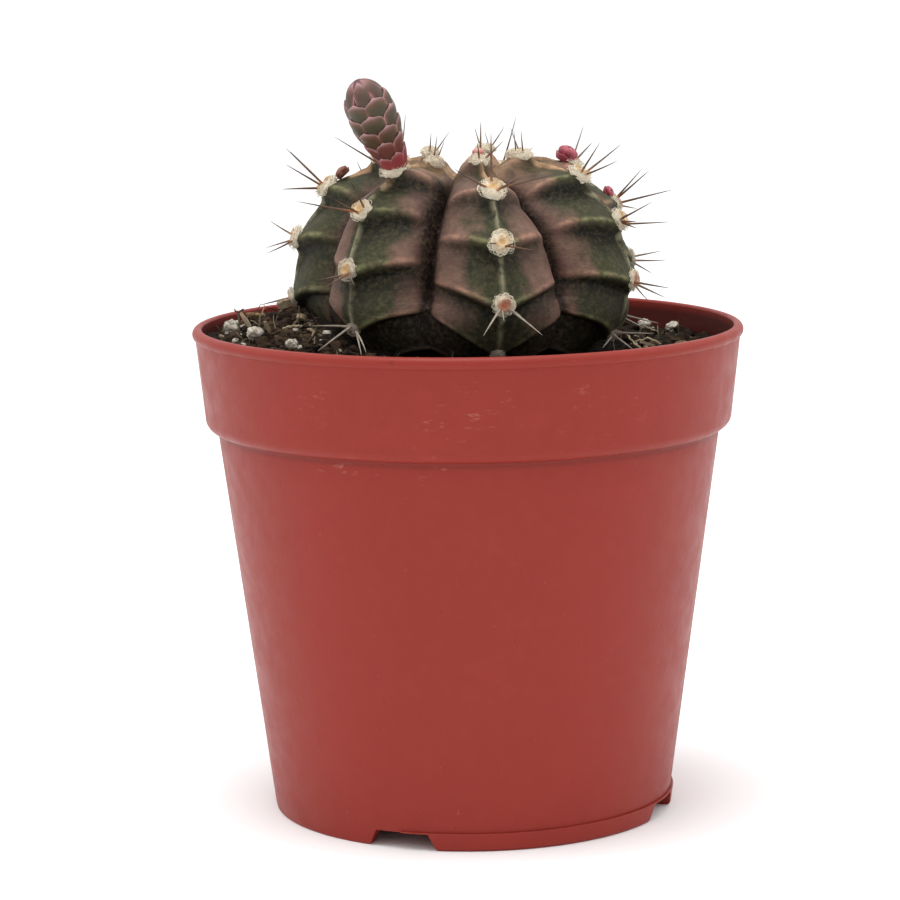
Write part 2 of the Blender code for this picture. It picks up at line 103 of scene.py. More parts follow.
# Splinters that stand out: centre, size, turn and tilt in radians, lightness.
SET_SHARDS = (
    ((-33.6, -8.0, 77.0), (3.4, 1.0, 0.6), 0.0, 1.0, 1.0),
    ((-28.2, -1.5, 79.0), (2.0, 1.5, 1.2), 0.4, -0.3, 0.6),
    ((-25.2, -9.4, 77.8), (1.7, 1.2, 0.9), 1.2, 0.4, 0.9),
    ((-30.2, -11.0, 76.2), (2.6, 0.8, 0.6), 0.4, 1.2, 0.5),
    ((27.0, -14.0, 73.8), (2.4, 0.8, 0.5), 0.5, 0.3, 0.8),
)
# Strands that stand out: points, thickness, lightness.
SET_STRANDS = (
    (((-34.4, -10, 72.5), (-34.6, -10, 76.6), (-34.7, -9.6, 78.6), (-33.9, -9.5, 79.2)), 0.17, 0.2),
    (((-34.7, -9.6, 78.6), (-35.4, -9.7, 79.2)), 0.12, 0.2),
    (((-24.8, -14, 73.4), (-23.4, -14.5, 75.0), (-23.2, -14, 76.2), (-24.2, -13.5, 76.6)), 0.2, 0.85),
    (((-28.0, -12, 76.4), (-26.2, -12.5, 76.9), (-24.8, -12, 76.7)), 0.22, 0.7),
    (((-31.8, -10.5, 74.6), (-31.4, -10.5, 78.0)), 0.2, 0.35),
    (((-29.6, -8, 75.4), (-28.9, -8, 78.0), (-28.2, -8, 78.8)), 0.13, 0.3),
    (((24.0, -13, 75.0), (25.2, -14.5, 73.8), (26.4, -15.5, 72.8)), 0.16, 0.8),
    (((25.0, -12, 73.8), (27.4, -13, 74.6), (29.2, -13, 73.6)), 0.16, 0.85),
    (((26.0, -9, 74.6), (26.6, -10, 76.0), (28.8, -10, 75.2)), 0.13, 0.75),
)

# Stem
STEM_CENTRE = np.array([-0.4, 1.0])
STEM_RADIUS = 26.1
WAIST = SOIL_LEVEL + 9.6
CROWN_HEIGHT = 21.2
BASE_DEPTH = 15.0
CROWN_FULLNESS = 2.5
BASE_FULLNESS = 1.8
CROWN_DIP = 5.0
CROWN_DIP_RADIUS = 6.5
RIBS = "abcdefg"
RIB_AZIMUTHS = np.array([-90, -42, 12.5, 69, 110, 163, 217], float)
RIB_REACH = np.array([1.0, 0.985, 1.0, 1.025, 1.035, 0.99, 1.0])
# How far each valley, starting with the one after rib a, wanders by the crown, as a share.
VALLEY_SHIFT = np.array([0.0, 0.03, -0.11, 0.0, 0.04, -0.03, 0.0])
# Ridges of two ribs meet below this distance from the crown's centre.
MEETING_START = 33.0
MEETING_LENGTH = 6.0
# How mauve each flank is, how strong its ridges are and how wide its shade by the valley is.
# Each pair is the flank before the crest and the one after it, as azimuth grows.
FLANK_MAUVE = np.array(
    [(0.1, -0.4), (0.5, 0.02), (0.2, 0.24), (-0.12, -0.3), (0.0, 0.1), (0.1, 0.0), (0.0, 0.1)]
)
FLANK_RIDGES = np.array(
    [(1.0, 0.9), (0.3, 1.0), (0.78, 0.75), (1.0, 1.1), (1.0, 0.9), (0.9, 1.0), (1.0, 0.8)]
)
FLANK_SHADOW = np.array(
    [(1.0, 0.9), (0.6, 1.25), (1.0, 0.8), (0.7, 1.0), (1.0, 1.0), (1.0, 1.0), (1.0, 1.0)]
)
RIB_DEPTH = 6.4
CREVICE_DEPTH = 1.0
CREVICE_WIDTH = 0.075
KEEL_HEIGHT = 0.2
KEEL_WIDTH = 0.03
RIDGE_HEIGHT = 1.9
RIDGE_LEAN = 3.2
RIDGE_LEAN_LOW = 3.4
RIDGE_DROP = 0.18
RIDGE_BELOW_AREOLE = 0.9
VALLEY_FILL = 0.5
LOW_START = 34.0
LOW_END = 50.0
ROOT_RADIUS = 4.5
ROOT_LENGTH = 12.0
ROOT_SHARES = (0.33, 0.66, 1.0)
COLUMNS_PER_RIB = 72
STEM_ROWS = 186

# Areoles
FIRST_AREOLE = np.array([13.6, 7.6, 12.3, 10.5, 9.2, 12.5, 9.5])
AREOLE_SPACING = 9.0
WOOL_RADIUS = (1.6, 2.1, 1.85, 1.65, 1.1)
WOOL_HEIGHT = 1.25
LOOSE_HAIRS = 150
HAIR_STEPS = 6
SPINE_LENGTH = 7.4
SPINE_STEPS = 9
SPINE_SIDES = 7


# Meshes


def unit(values):
    return np.clip(values, 0, 1)


def smooth(share):
    return share * share * (3 - 2 * share)


def bell(offset, width):
    return np.exp(-((offset / width) ** 2))


def add_object(name, data):
    made = bpy.data.objects.new(name, data)
    bpy.context.scene.collection.objects.link(made)
    return made


def object_from(shape, name):
    """An object made from a bmesh, which is freed."""
    mesh = bpy.data.meshes.new(name)
    shape.to_mesh(mesh)
    shape.free()
    return add_object(name, mesh)


def closed_object(shape, name):
    bmesh.ops.recalc_face_normals(shape, faces=shape.faces)
    return object_from(shape, name)


def join_rings(shape, first, second):
    for k in range(len(first)):
        j = (k + 1) % len(first)
        shape.faces.new((first[k], first[j], second[j], second[k]))


def nodes_named(prefix):
    return sorted(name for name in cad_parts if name.startswith(prefix))


def node_box(name):
    return (np.array(corner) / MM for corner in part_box(name))


def heading(turn, tilt):
    """A direction from a turn about Z and a tilt up from level, in radians."""
    return np.array([math.cos(turn) * math.cos(tilt), math.sin(turn) * math.cos(tilt), math.sin(tilt)])


def rotated(points, turn, tilt):
    turned_by = np.array(Matrix.Rotation(turn, 3, "Z") @ Matrix.Rotation(tilt, 3, "Y"))
    return points @ turned_by.T


class Shape:
    """Gathers points, faces and named values for one mesh."""

    def __init__(self):
        self.points = []
        self.faces = []
        self.values = {}
        self.count = 0

    def add(self, points, faces, **values):
        points = np.asarray(points, float).reshape(-1, 3)
        self.points.append(points)
        self.faces.extend(np.asarray(face) + self.count for face in faces)
        for name in set(self.values) | set(values):
            given = values.get(name, 0.0)
            column = self.values.setdefault(name, [np.zeros(self.count)] if self.count else [])
            column.append(np.broadcast_to(np.asarray(given, float).reshape(-1), (len(points),)))
        self.count += len(points)

    def piece(self, name, material, stands_for=(), sharp_angle=60):
        mesh = bpy.data.meshes.new(name)
        points = (np.concatenate(self.points) * MM).tolist()
        mesh.from_pydata(points, [], [face.tolist() for face in self.faces])
        for label, columns in self.values.items():
            attribute = mesh.attributes.new(label, "FLOAT", "POINT")
            attribute.data.foreach_set("value", np.concatenate(columns).astype(np.float32))
        mesh.validate()
        mesh.update()
        return finish_piece(add_object(name, mesh), material, stands_for, sharp_angle)


def finish_piece(made, material, stands_for=(), sharp_angle=60):
    """Material, smooth shading and the piece's place in the frame's table."""
    made.data.materials.clear()
    made.data.materials.append(material)
    made.data.shade_smooth()
    made.data.set_sharp_from_angle(angle=math.radians(sharp_angle))
    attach(made, "root")
    if stands_for:
        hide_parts(*stands_for)
    return made


def grid_faces(rows, columns, closed=True):
    """Quads between rows of points that follow each other round a ring or along a strip."""
    last = columns if closed else columns - 1
    row, column = np.meshgrid(np.arange(rows - 1), np.arange(last), indexing="ij")
    start = row * columns + column
    following = row * columns + (column + 1) % columns
    return np.stack([start, start + columns, following + columns, following], -1).reshape(-1, 4)


def tube(path, radii, sides):
    """A closed tube along a path, with a point at its far end."""
    path = np.asarray(path, float)
    along = np.gradient(path, axis=0)
    along /= np.linalg.norm(along, axis=1)[:, None] + 1e-9
    guide = np.array([0.31, 0.17, 0.93])
    if abs(along[0] @ guide) > 0.9:
        guide = np.array([0.93, 0.31, -0.17])
    across = np.cross(along, guide)
    across /= np.linalg.norm(across, axis=1)[:, None] + 1e-9
    other = np.cross(along, across)
    turn = np.arange(sides) * math.tau / sides
    ring = across[:, None] * np.cos(turn)[None, :, None] + other[:, None] * np.sin(turn)[None, :, None]
    points = (path[:, None] + ring * np.asarray(radii, float)[:, None, None]).reshape(-1, 3)
    faces = [list(f[::-1]) for f in grid_faces(len(path), sides)]
    faces.append(list(range(sides)))
    faces.append(list(range(len(points) - sides, len(points)))[::-1])
    return points, faces


def icosphere(level):
    ball = bmesh.new()
    bmesh.ops.create_icosphere(ball, subdivisions=level, radius=1.0)
    points = np.array([v.co for v in ball.verts])
    faces = [[v.index for v in f.verts] for f in ball.faces]
    ball.free()
    return points, faces


BALLS = {level: icosphere(level) for level in (1, 2, 3, 4)}


def lumps(points, size, seed=0.0):
    """Smooth noise at points, about -1 to 1, with features of the given size."""
    shift = Vector((seed * 3.7, seed * 1.3, seed * 2.9))
    return np.array([noise.noise(Vector(p) / size + shift) for p in points])


def outward(azimuth):
    turn = np.radians(azimuth)
    return np.stack([np.sin(turn), -np.cos(turn), np.zeros_like(turn)], -1)


# Materials


class Look:
    """A Principled material with short calls for the nodes that colour it."""

    def __init__(self, name, roughness, **sockets):
        self.material = bpy.data.materials.new(name)
        self.material.use_nodes = True
        self.tree = self.material.node_tree
        self.shader = self.tree.nodes["Principled BSDF"]
        self.shader.inputs["Roughness"].default_value = roughness
        for socket, value in sockets.items():
            self.shader.inputs[socket.replace("_", " ")].default_value = value
        self.place = self.tree.nodes.new("ShaderNodeTexCoord").outputs["Object"]

    def node(self, kind, **settings):
        made = self.tree.nodes.new(kind)
        for key, value in settings.items():
            setattr(made, key, value)
        return made

    def feed(self, socket, value):
        if isinstance(value, bpy.types.NodeSocket):
            self.tree.links.new(value, socket)
        elif isinstance(value, (tuple, list)):
            socket.default_value = (*value, 1.0) if len(value) == 3 else value
        else:
            socket.default_value = value

    def noise(self, size, detail=4.0, roughness=0.55, stretch=None):
        """Noise with features of a size in millimetres, 0 to 1."""
        made = self.node("ShaderNodeTexNoise")
        made.inputs["Scale"].default_value = 1 / (size * MM)
        made.inputs["Detail"].default_value = detail
        made.inputs["Roughness"].default_value = roughness
        place = self.place
        if stretch:
            mapping = self.node("ShaderNodeMapping")
            mapping.inputs["Scale"].default_value = stretch
            self.feed(mapping.inputs["Vector"], place)
            place = mapping.outputs["Vector"]
        self.feed(made.inputs["Vector"], place)
        return made.outputs["Fac"]

    def value(self, name):
        return self.node("ShaderNodeAttribute", attribute_name=name).outputs["Fac"]

    def maths(self, operation, first, second=0.0):
        made = self.node("ShaderNodeMath", operation=operation)
        self.feed(made.inputs[0], first)
        self.feed(made.inputs[1], second)
        return made.outputs[0]

    def times(self, first, second):
        return self.maths("MULTIPLY", first, second)

    def plus(self, first, second):
        return self.maths("ADD", first, second)

    def span(self, value, start, stop, low=0.0, high=1.0):
        made = self.node("ShaderNodeMapRange", interpolation_type="SMOOTHSTEP")
        for socket, number in zip(made.inputs, (value, start, stop, low, high)):
            self.feed(socket, number)
        return made.outputs["Result"]

    def mix(self, share, first, second):
        made = self.node("ShaderNodeMix", data_type="RGBA")
        self.feed(made.inputs["Factor"], share)
        self.feed(made.inputs[6], first)
        self.feed(made.inputs[7], second)
        return made.outputs[2]

    def layer(self, base, value, share, colour):
        """The base with a colour laid over it, by a value times a share."""
        return self.mix(self.times(value, share), base, colour)

    def colour(self, value):
        self.feed(self.shader.inputs["Base Color"], value)

    def rough(self, value):
        self.feed(self.shader.inputs["Roughness"], value)

    def bump(self, height, depth):
        made = self.node("ShaderNodeBump")
        made.inputs["Strength"].default_value = 1.0
        made.inputs["Distance"].default_value = depth * MM
        self.feed(made.inputs["Height"], height)
        self.feed(self.shader.inputs["Normal"], made.outputs["Normal"])


def tone(red, green, blue):
    """Linear colour from 8-bit display values."""
    parts = []
    for part in (red, green, blue):
        share = part / 255
        parts.append(share / 12.92 if share <= 0.04045 else ((share + 0.055) / 1.055) ** 2.4)
    return tuple(parts)


def pot_look():
    """Matt terracotta-coloured plastic with a few pale scuffs on and just under the band."""
    look = Look("pot_plastic", 0.42, Specular_IOR_Level=0.2)
    base = look.mix(look.noise(16, 3), tone(131, 42, 33), tone(139, 45, 35))
    base = look.layer(base, look.span(look.noise(2.6, 5), 0.35, 0.75), 0.2, tone(146, 50, 39))
    split = look.node("ShaderNodeSeparateXYZ")
    look.feed(split.inputs[0], look.place)
    x, z = split.outputs["X"], split.outputs["Z"]

    def zone(first, second):
        """1 between two soft edges, each given as the heights where it starts and ends, in mm."""
        edges = [look.span(z, *(height * MM for height in edge)) for edge in (first, second)]
        return look.times(*edges)

    worn_zone = look.plus(zone(*SCUFFED_BAND), look.times(zone(*SCUFFED_WALL), 1.3))
    worn_side = look.span(look.maths("ABSOLUTE", x), 0.034, 0.012)
    streaks = look.span(look.noise(1.5, 6, 0.7, (0.45, 1.0, 1.6)), 0.56, 0.72)
    patches = look.span(look.noise(8, 2), 0.46, 0.62)
    marks = look.times(look.times(look.times(streaks, patches), worn_side), worn_zone)
    base = look.layer(base, marks, 0.5, tone(184, 118, 102))
    base = look.layer(base, look.span(look.noise(0.8, 2), 0.72, 0.78), 0.25, tone(176, 96, 80))
    base = look.layer(base, look.span(look.noise(1.4, 1), 0.76, 0.8), 0.3, tone(84, 30, 24))
    # Painted shade: the wall's inner face is darkened to stand for the shade inside the pot.
    base = look.layer(base, look.value("inside"), 0.8, tone(58, 20, 16))
    base = look.layer(base, zone(*SHADED_GROOVE), 0.3, tone(84, 30, 24))
    look.colour(base)
    look.rough(look.span(look.noise(3.0, 4), 0.3, 0.7, 0.38, 0.48))
    look.bump(look.plus(look.noise(0.5, 3), look.times(look.noise(5, 2), 1.5)), 0.03)
    return look.material


def soil_look(name, dark, light):
    look = Look(name, 0.95, Specular_IOR_Level=0.15)
    clods = look.span(look.noise(1.3, 6, 0.7), 0.35, 0.7, 0.0, 0.6)
    shade = look.plus(clods, look.value("shade"))
    look.colour(look.mix(shade, dark, light))
    look.bump(look.noise(0.5, 5, 0.7), 0.25)
    return look.material


def stem_look():
    """Dark green by the crests and mauve by the valleys, with pale ridges that are partly a painted
    highlight and dark hollows that are partly painted shade.
    """
    look = Look("stem_skin", 0.58, Specular_IOR_Level=0.14)
    sideways = look.value("sideways")
    low = look.value("low")
    crown = look.value("crown")
    blotch = look.noise(5.5, 4, 0.6)
    patch = look.noise(2.3, 4, 0.6)
    fine = look.noise(0.7, 6, 0.65)
    wander = look.times(look.maths("SUBTRACT", blotch, 0.5), 1.3)
    lean = look.plus(look.plus(sideways, wander), look.times(crown, 0.4))
    lean = look.maths("SUBTRACT", lean, look.times(low, 0.22))
    lean = look.plus(lean, look.maths("SUBTRACT", look.value("tint"), 0.5))
    green = look.mix(patch, tone(28, 32, 22), tone(66, 66, 44))
    mauve = look.mix(patch, tone(68, 50, 45), tone(134, 102, 90))
    base = look.mix(look.span(lean, 0.36, 0.78), green, mauve)
    rosy = look.span(look.plus(sideways, look.times(patch, 0.4)), 0.92, 1.16)
    base = look.layer(base, rosy, 0.35, tone(122, 80, 76))
    flaky = look.span(look.noise(3.0, 4), 0.4, 0.65, 0.1, 0.8)
    dry = look.times(look.span(crown, 0.45, 1.0), flaky)
    base = look.mix(dry, base, tone(158, 128, 98))
    # Dark hollow just below each ridge: partly the skin's own darker colour, partly painted shade under
    # the ridge's lip.
    base = look.layer(base, look.value("hollow"), 0.96, tone(13, 15, 12))
    # Pale lines along the ridges: partly the skin's own paler colour, partly a painted highlight where
    # each ridge catches the light; noise breaks them up.
    pale = look.mix(look.span(lean, 0.35, 0.75), tone(128, 126, 88), tone(172, 128, 108))
    ridge_breaks = look.span(look.noise(1.6, 5, 0.65), 0.36, 0.64, 0.08, 0.8)
    worn = look.times(look.value("ridge"), ridge_breaks)
    base = look.mix(worn, base, pale)
    broken = look.span(look.noise(2.0, 4), 0.38, 0.6, 0.1, 0.9)
    crest = look.times(look.value("keel"), look.maths("MAXIMUM", broken, look.times(crown, 0.6)))
    crest_tone = look.mix(look.span(crown, 0.1, 0.5), tone(146, 140, 114), tone(196, 156, 120))
    base = look.mix(crest, base, crest_tone)
    shadow = look.times(look.value("shadow"), look.span(blotch, 0.2, 0.5, 0.8, 0.97))
    base = look.mix(shadow, base, tone(24, 14, 15))
    # Darker low on the stem: partly its own darker colour, partly painted shade from the pot's rim and
    # wall.
    base = look.layer(base, low, 0.4, tone(26, 21, 19))
    # Below the fourth ridge the skin is darkened almost to black: partly its own dark colour, partly
    # painted shade near the soil.
    base = look.layer(base, look.value("under"), 0.8, tone(20, 17, 16))
    # Paler arcs along the ridges in that dark zone, partly a painted highlight.
    arches = look.times(look.value("under"), look.value("ridge"))
    base = look.layer(base, arches, 0.5, tone(104, 90, 84))
    base = look.layer(base, look.span(fine, 0.4, 0.75), 0.22, tone(134, 120, 88))
    base = look.layer(base, look.span(look.noise(0.4, 2), 0.66, 0.74), 0.45, tone(30, 22, 19))
    look.colour(base)
    look.rough(look.span(fine, 0.3, 0.7, 0.5, 0.68))
    creases = look.noise(1.0, 5, 0.6, (1.0, 1.0, 2.6))
    look.bump(look.plus(look.times(fine, 0.5), creases), 0.16)
    return look.material


def wool_look():
    look = Look("areole_wool", 0.9, Specular_IOR_Level=0.15, Sheen_Weight=0.2)
    core = look.value("core")
    wave = look.noise(0.5, 4, 0.6)
    wool = look.mix(wave, tone(196, 178, 146), tone(246, 240, 224))
    aged = look.mix(wave, tone(112, 100, 88), tone(186, 174, 158))
    wool = look.mix(look.value("worn"), wool, aged)
    centre = look.mix(look.value("rusty"), tone(196, 148, 78), tone(168, 78, 40))
    felted = look.span(wave, 0.2, 0.55, 0.55, 0.95)
    look.colour(look.mix(look.times(core, felted), wool, centre))
    look.bump(look.noise(0.22, 4, 0.7), 0.12)
    return look.material


def spine_look():
    look = Look("spines", 0.5, Specular_IOR_Level=0.35)
    along = look.value("along")
    young = look.mix(look.span(along, 0.0, 0.35), tone(148, 92, 50), tone(92, 68, 50))
    young = look.mix(look.span(along, 0.5, 1.0), young, tone(52, 40, 36))
    old = look.mix(look.noise(0.8, 4), tone(112, 98, 84), tone(190, 178, 162))
    look.colour(look.mix(look.value("age"), young, old))
    look.bump(look.noise(0.2, 3), 0.03)
    return look.material


def bud_look(name, body, warm, margin, base, tip):
    look = Look(name, 0.45, Specular_IOR_Level=0.35)
    blotch = look.noise(1.3, 4)
    # Each scale is darker low down, where the scale below overlaps it, and warmer towards its free
    # edge: partly its own colour, partly painted shade.
    skin = look.mix(look.span(look.value("rise"), 0.5, 0.95), body, warm)
    skin = look.mix(look.span(blotch, 0.45, 0.7, 0.0, 0.6), skin, body)
    skin = look.mix(look.value("low"), skin, base)
    skin = look.layer(skin, look.value("high"), 0.15, tip)
    rim = look.layer(margin, look.value("high"), 0.6, tip)
    faded = look.span(blotch, 0.2, 0.6, 0.35, 0.85)
    skin = look.mix(look.times(look.value("edge"), faded), skin, rim)
    look.colour(skin)
    look.bump(look.noise(0.4, 4), 0.05)
    return look.material


def grain_look(name, dark, light, size, depth):
    look = Look(name, 0.9, Specular_IOR_Level=0.25)
    look.colour(look.mix(look.span(look.noise(size, 5, 0.65), 0.3, 0.65), dark, light))
    look.bump(look.noise(size * 0.4, 5, 0.7), depth)
    return look.material


def fibre_look():
    look = Look("soil_fibre", 0.85, Specular_IOR_Level=0.15)
    dark = look.mix(look.noise(0.8, 3), tone(24, 17, 12), tone(52, 38, 27))
    light = look.mix(look.noise(0.8, 3), tone(122, 102, 78), tone(186, 170, 144))
    look.colour(look.mix(look.value("shade"), dark, light))
    look.bump(look.noise(0.25, 3), 0.04)
    return look.material


# Pot


def band_radius(height):
    return BAND_TOP_RADIUS - BAND_DRAFT * (BAND_TOP - height)


def wall_top_radius():
    return band_radius(BAND_BOTTOM + BAND_STEP) - BAND_STEP


def wall_radius(height):
    return wall_top_radius() - WALL_DRAFT * (BAND_BOTTOM - height)


def arc(centre, radius, start, stop, steps):
    turns = np.radians(np.linspace(start, stop, steps + 1))
    return [(centre[0] + radius * math.cos(t), centre[1] + radius * math.sin(t)) for t in turns]


def turned(name, profile, segments):
    """A closed mesh turned about Z from a closed profile or one that ends on the axis."""
    shape = bmesh.new()
    points = [shape.verts.new((r * MM, 0, z * MM)) for r, z in profile]
    edges = [shape.edges.new(pair) for pair in zip(points, points[1:])]
    if profile[0][0] > 0 and profile[-1][0] > 0:
        edges.append(shape.edges.new((points[-1], points[0])))
    bmesh.ops.spin(
        shape,
        geom=points + edges,
        cent=(0, 0, 0),
        axis=(0, 0, 1),
        angle=math.tau,
        steps=segments,
        use_merge=True,
    )
    bmesh.ops.remove_doubles(shape, verts=shape.verts, dist=0.001 * MM)
    return closed_object(shape, name)


def pot_profile():
    lip_end = -math.degrees(math.acos(1 - LIP_PROUD / LIP_RADIUS))
    top = wall_top_radius()
    step = BAND_BOTTOM + BAND_STEP
    foot_inner = wall_radius(0) - FOOT_WIDTH
    inner_edge = BAND_TOP_RADIUS - POT_WALL
    profile = arc((RIM_RADIUS - LIP_RADIUS, POT_HEIGHT - LIP_RADIUS), LIP_RADIUS, 90, lip_end, 14)
    profile += [(band_radius(z), z) for z in (BAND_TOP - 0.5, BAND_TOP - 5, step + 4)]
    profile += arc((top, step), BAND_STEP, 0, -80, 10)
    profile += [(top + 0.02, BAND_BOTTOM + 0.04), (top - 0.12, BAND_BOTTOM - 0.2)]
    profile += [(top - 0.16, BAND_BOTTOM - 0.6), (wall_radius(BAND_BOTTOM - 1.1), BAND_BOTTOM - 1.1)]
    profile += [(wall_radius(z), z) for z in (BAND_BOTTOM - 6, 44, 30, 16, 4, 0.7)]
    profile += arc((wall_radius(0) - 0.3, 0.3), 0.3, -5, -90, 4)
    profile += [(foot_inner, 0.0), (foot_inner, FLOOR_BOTTOM), (0.0, FLOOR_BOTTOM), (0.0, FLOOR_TOP)]
    profile += [(wall_radius(FLOOR_TOP) - POT_WALL - 0.6, FLOOR_TOP)]
    profile += [(wall_radius(z) - POT_WALL, z) for z in (FLOOR_TOP + 0.6, BAND_BOTTOM - 0.5)]
    profile += [(band_radius(z) - POT_WALL, z) for z in (step, SOIL_LEVEL - 1, POT_HEIGHT - 1.6)]
    profile += [(inner_edge, POT_HEIGHT - INNER_LIP)]
    profile += arc((inner_edge + INNER_LIP, POT_HEIGHT - INNER_LIP), INNER_LIP, 170, 100, 4)
    return profile


def skirt_helper():
    """The part of the foot that stands a little proud, with a small ledge along its top."""
    proud = SKIRT_PROUD
    profile = [
        (wall_radius(FOOT_HEIGHT) - 0.5, FOOT_HEIGHT + 0.02),
        (wall_radius(FOOT_HEIGHT) + proud - 0.08, FOOT_HEIGHT),
        (wall_radius(FOOT_HEIGHT) + proud, FOOT_HEIGHT - 0.1),
        (wall_radius(0.4) + proud, 0.4),
        (wall_radius(0) + proud - 0.3, 0.02),
        (wall_radius(0) - 0.5, 0.02),
    ]
    shape = bmesh.new()
    rings = []
    for azimuth in np.linspace(SKIRT_START, SKIRT_STOP, SKIRT_STEPS + 1):
        turn = outward(azimuth)
        ring = [(turn * r + np.array([0, 0, z])) * MM for r, z in profile]
        rings.append([shape.verts.new(Vector(point)) for point in ring])
    for first, second in zip(rings, rings[1:]):
        join_rings(shape, first, second)
    shape.faces.new(rings[0])
    shape.faces.new(rings[-1])
    return closed_object(shape, "skirt")


def cut(target, cutter, operation="DIFFERENCE"):
    """Boolean with a helper, applied straight away, so that no helper is left."""
    modifier = target.modifiers.new("cut", "BOOLEAN")
    modifier.object = cutter
    modifier.operation = operation
    modifier.solver = "EXACT"
    bpy.context.view_layer.update()
    evaluated = target.evaluated_get(bpy.context.evaluated_depsgraph_get())
    result = bpy.data.meshes.new_from_object(evaluated)
    target.modifiers.clear()
    target.data = result
    bpy.data.objects.remove(cutter)


def notch_helper(azimuth):
    top, below = FOOT_HEIGHT - 0.2, -1.0
    half_top = NOTCH_WIDTH / 2
    half_below = half_top + NOTCH_FLARE * (top - below) / top
    corners = ((-half_below, below), (half_below, below), (half_top, top), (-half_top, top))
    side = outward(azimuth + 90)
    shape = bmesh.new()
    rings = []
    for distance in (wall_radius(0) - 2 * FOOT_WIDTH, wall_radius(0) + 2 * FOOT_WIDTH):
        middle = outward(azimuth) * distance
        ring = [middle + side * x + np.array([0, 0, z]) for x, z in corners]
        rings.append([shape.verts.new(Vector(point) * MM) for point in ring])
    for ring in rings:
        shape.faces.new(ring)
    join_rings(shape, *rings)
    return closed_object(shape, "helper")


def mark_inner_shade(pot):
    """An attribute that is 1 on the wall's inner face, which is darkened there as painted shade, and 0
    elsewhere.
    """
    attribute = pot.data.attributes.new("inside", "FLOAT", "POINT")
    values = []
    for vertex in pot.data.vertices:
        radius = math.hypot(vertex.co.x, vertex.co.y) / MM
        height = vertex.co.z / MM
        wall = band_radius(height) if height > BAND_BOTTOM + BAND_STEP else wall_radius(height)
        within = radius < wall - POT_WALL / 2 and height < POT_HEIGHT - 0.6
        values.append(1.0 if within and height > FLOOR_TOP - 0.1 else 0.0)
    attribute.data.foreach_set("value", values)


def build_pot(material):
    pot = turned("pot_body", pot_profile(), POT_SEGMENTS)
    cut(pot, skirt_helper(), "UNION")
    centres = [np.zeros(3)]
    for number in range(NOTCH_COUNT):
        azimuth = NOTCH_AZIMUTH + number * 360 / NOTCH_COUNT
        cut(pot, notch_helper(azimuth))
        centres.append(outward(azimuth) * wall_radius(0) * DRAIN_CIRCLE_SHARE)
    for centre in centres:
        hole = turned("hole", [(0, 8), (DRAIN_RADIUS, 8), (DRAIN_RADIUS, 1), (0, 1)], 32)
        hole.location = Vector(centre * MM)
        cut(pot, hole)
    mark_inner_shade(pot)
    finish_piece(pot, material, ["pot"], 32)


# Stem


def crest_curve(count=4000):
    """Distance from the crown's centre along a rib's crest, with radius, height and normal."""
    turn = np.linspace(0.0, 1.0, count)
    angle = turn * math.pi
    upper = angle <= math.pi / 2
    fullness = np.where(upper, CROWN_FULLNESS, BASE_FULLNESS)
    radius = STEM_RADIUS * np.abs(np.sin(angle)) ** (2 / fullness)
    rise = np.where(upper, CROWN_HEIGHT, -BASE_DEPTH)
    height = WAIST + rise * np.abs(np.cos(angle)) ** (2 / fullness)
    height -= np.where(upper, CROWN_DIP * bell(radius, CROWN_DIP_RADIUS), 0.0)
    keep = ~((turn > 0.5) & (radius < ROOT_RADIUS))
    radius, height = radius[keep], height[keep]
    steps = np.hypot(np.diff(radius), np.diff(height))
    distance = np.concatenate([[0.0], np.cumsum(steps)])
    rising = distance + np.arange(len(distance)) * 1e-9
    slope_r = np.gradient(radius, rising)
    slope_z = np.gradient(height, rising)
    size = np.hypot(slope_r, slope_z)
    return distance, radius, height, -slope_z / size, slope_r / size


CREST = crest_curve()
CREST_LENGTH = CREST[0][-1]


def crest_at(distance):
    return [np.interp(distance, CREST[0], column) for column in CREST[1:]]


def rib_fields(azimuth, distance):
    """Nearest rib, the rib beyond the valley, distance from crest (0) to valley (1), reach, flank."""
    ring = np.append(RIB_AZIMUTHS, RIB_AZIMUTHS[0] + 360)
    azimuth = (azimuth - ring[0]) % 360 + ring[0]
    left = np.clip(np.searchsorted(ring, azimuth, side="right") - 1, 0, len(RIBS) - 1)
    share = (azimuth - ring[left]) / (ring[left + 1] - ring[left])
    right = (left + 1) % len(RIBS)
    valley = 0.5 + VALLEY_SHIFT[left] * unit((36 - distance) / 18)
    sideways = np.where(share < valley, share / valley, (1 - share) / (1 - valley))
    blend = smooth(share)
    reach = RIB_REACH[left] * (1 - blend) + RIB_REACH[right] * blend
    on_right = share < valley
    rib = np.where(on_right, left, right)
    beside = np.where(on_right, right, left)
    return rib, beside, sideways, reach, on_right.astype(int)


def step_wave(phase):
    """1 on a ridge, a quick drop just below it, then a slow climb to the next ridge."""
    fall = 1 - smooth(unit(phase / RIDGE_DROP))
    climb = unit((phase - RIDGE_DROP) / (1 - RIDGE_DROP)) ** 1.35
    return np.where(phase < RIDGE_DROP, fall, climb)


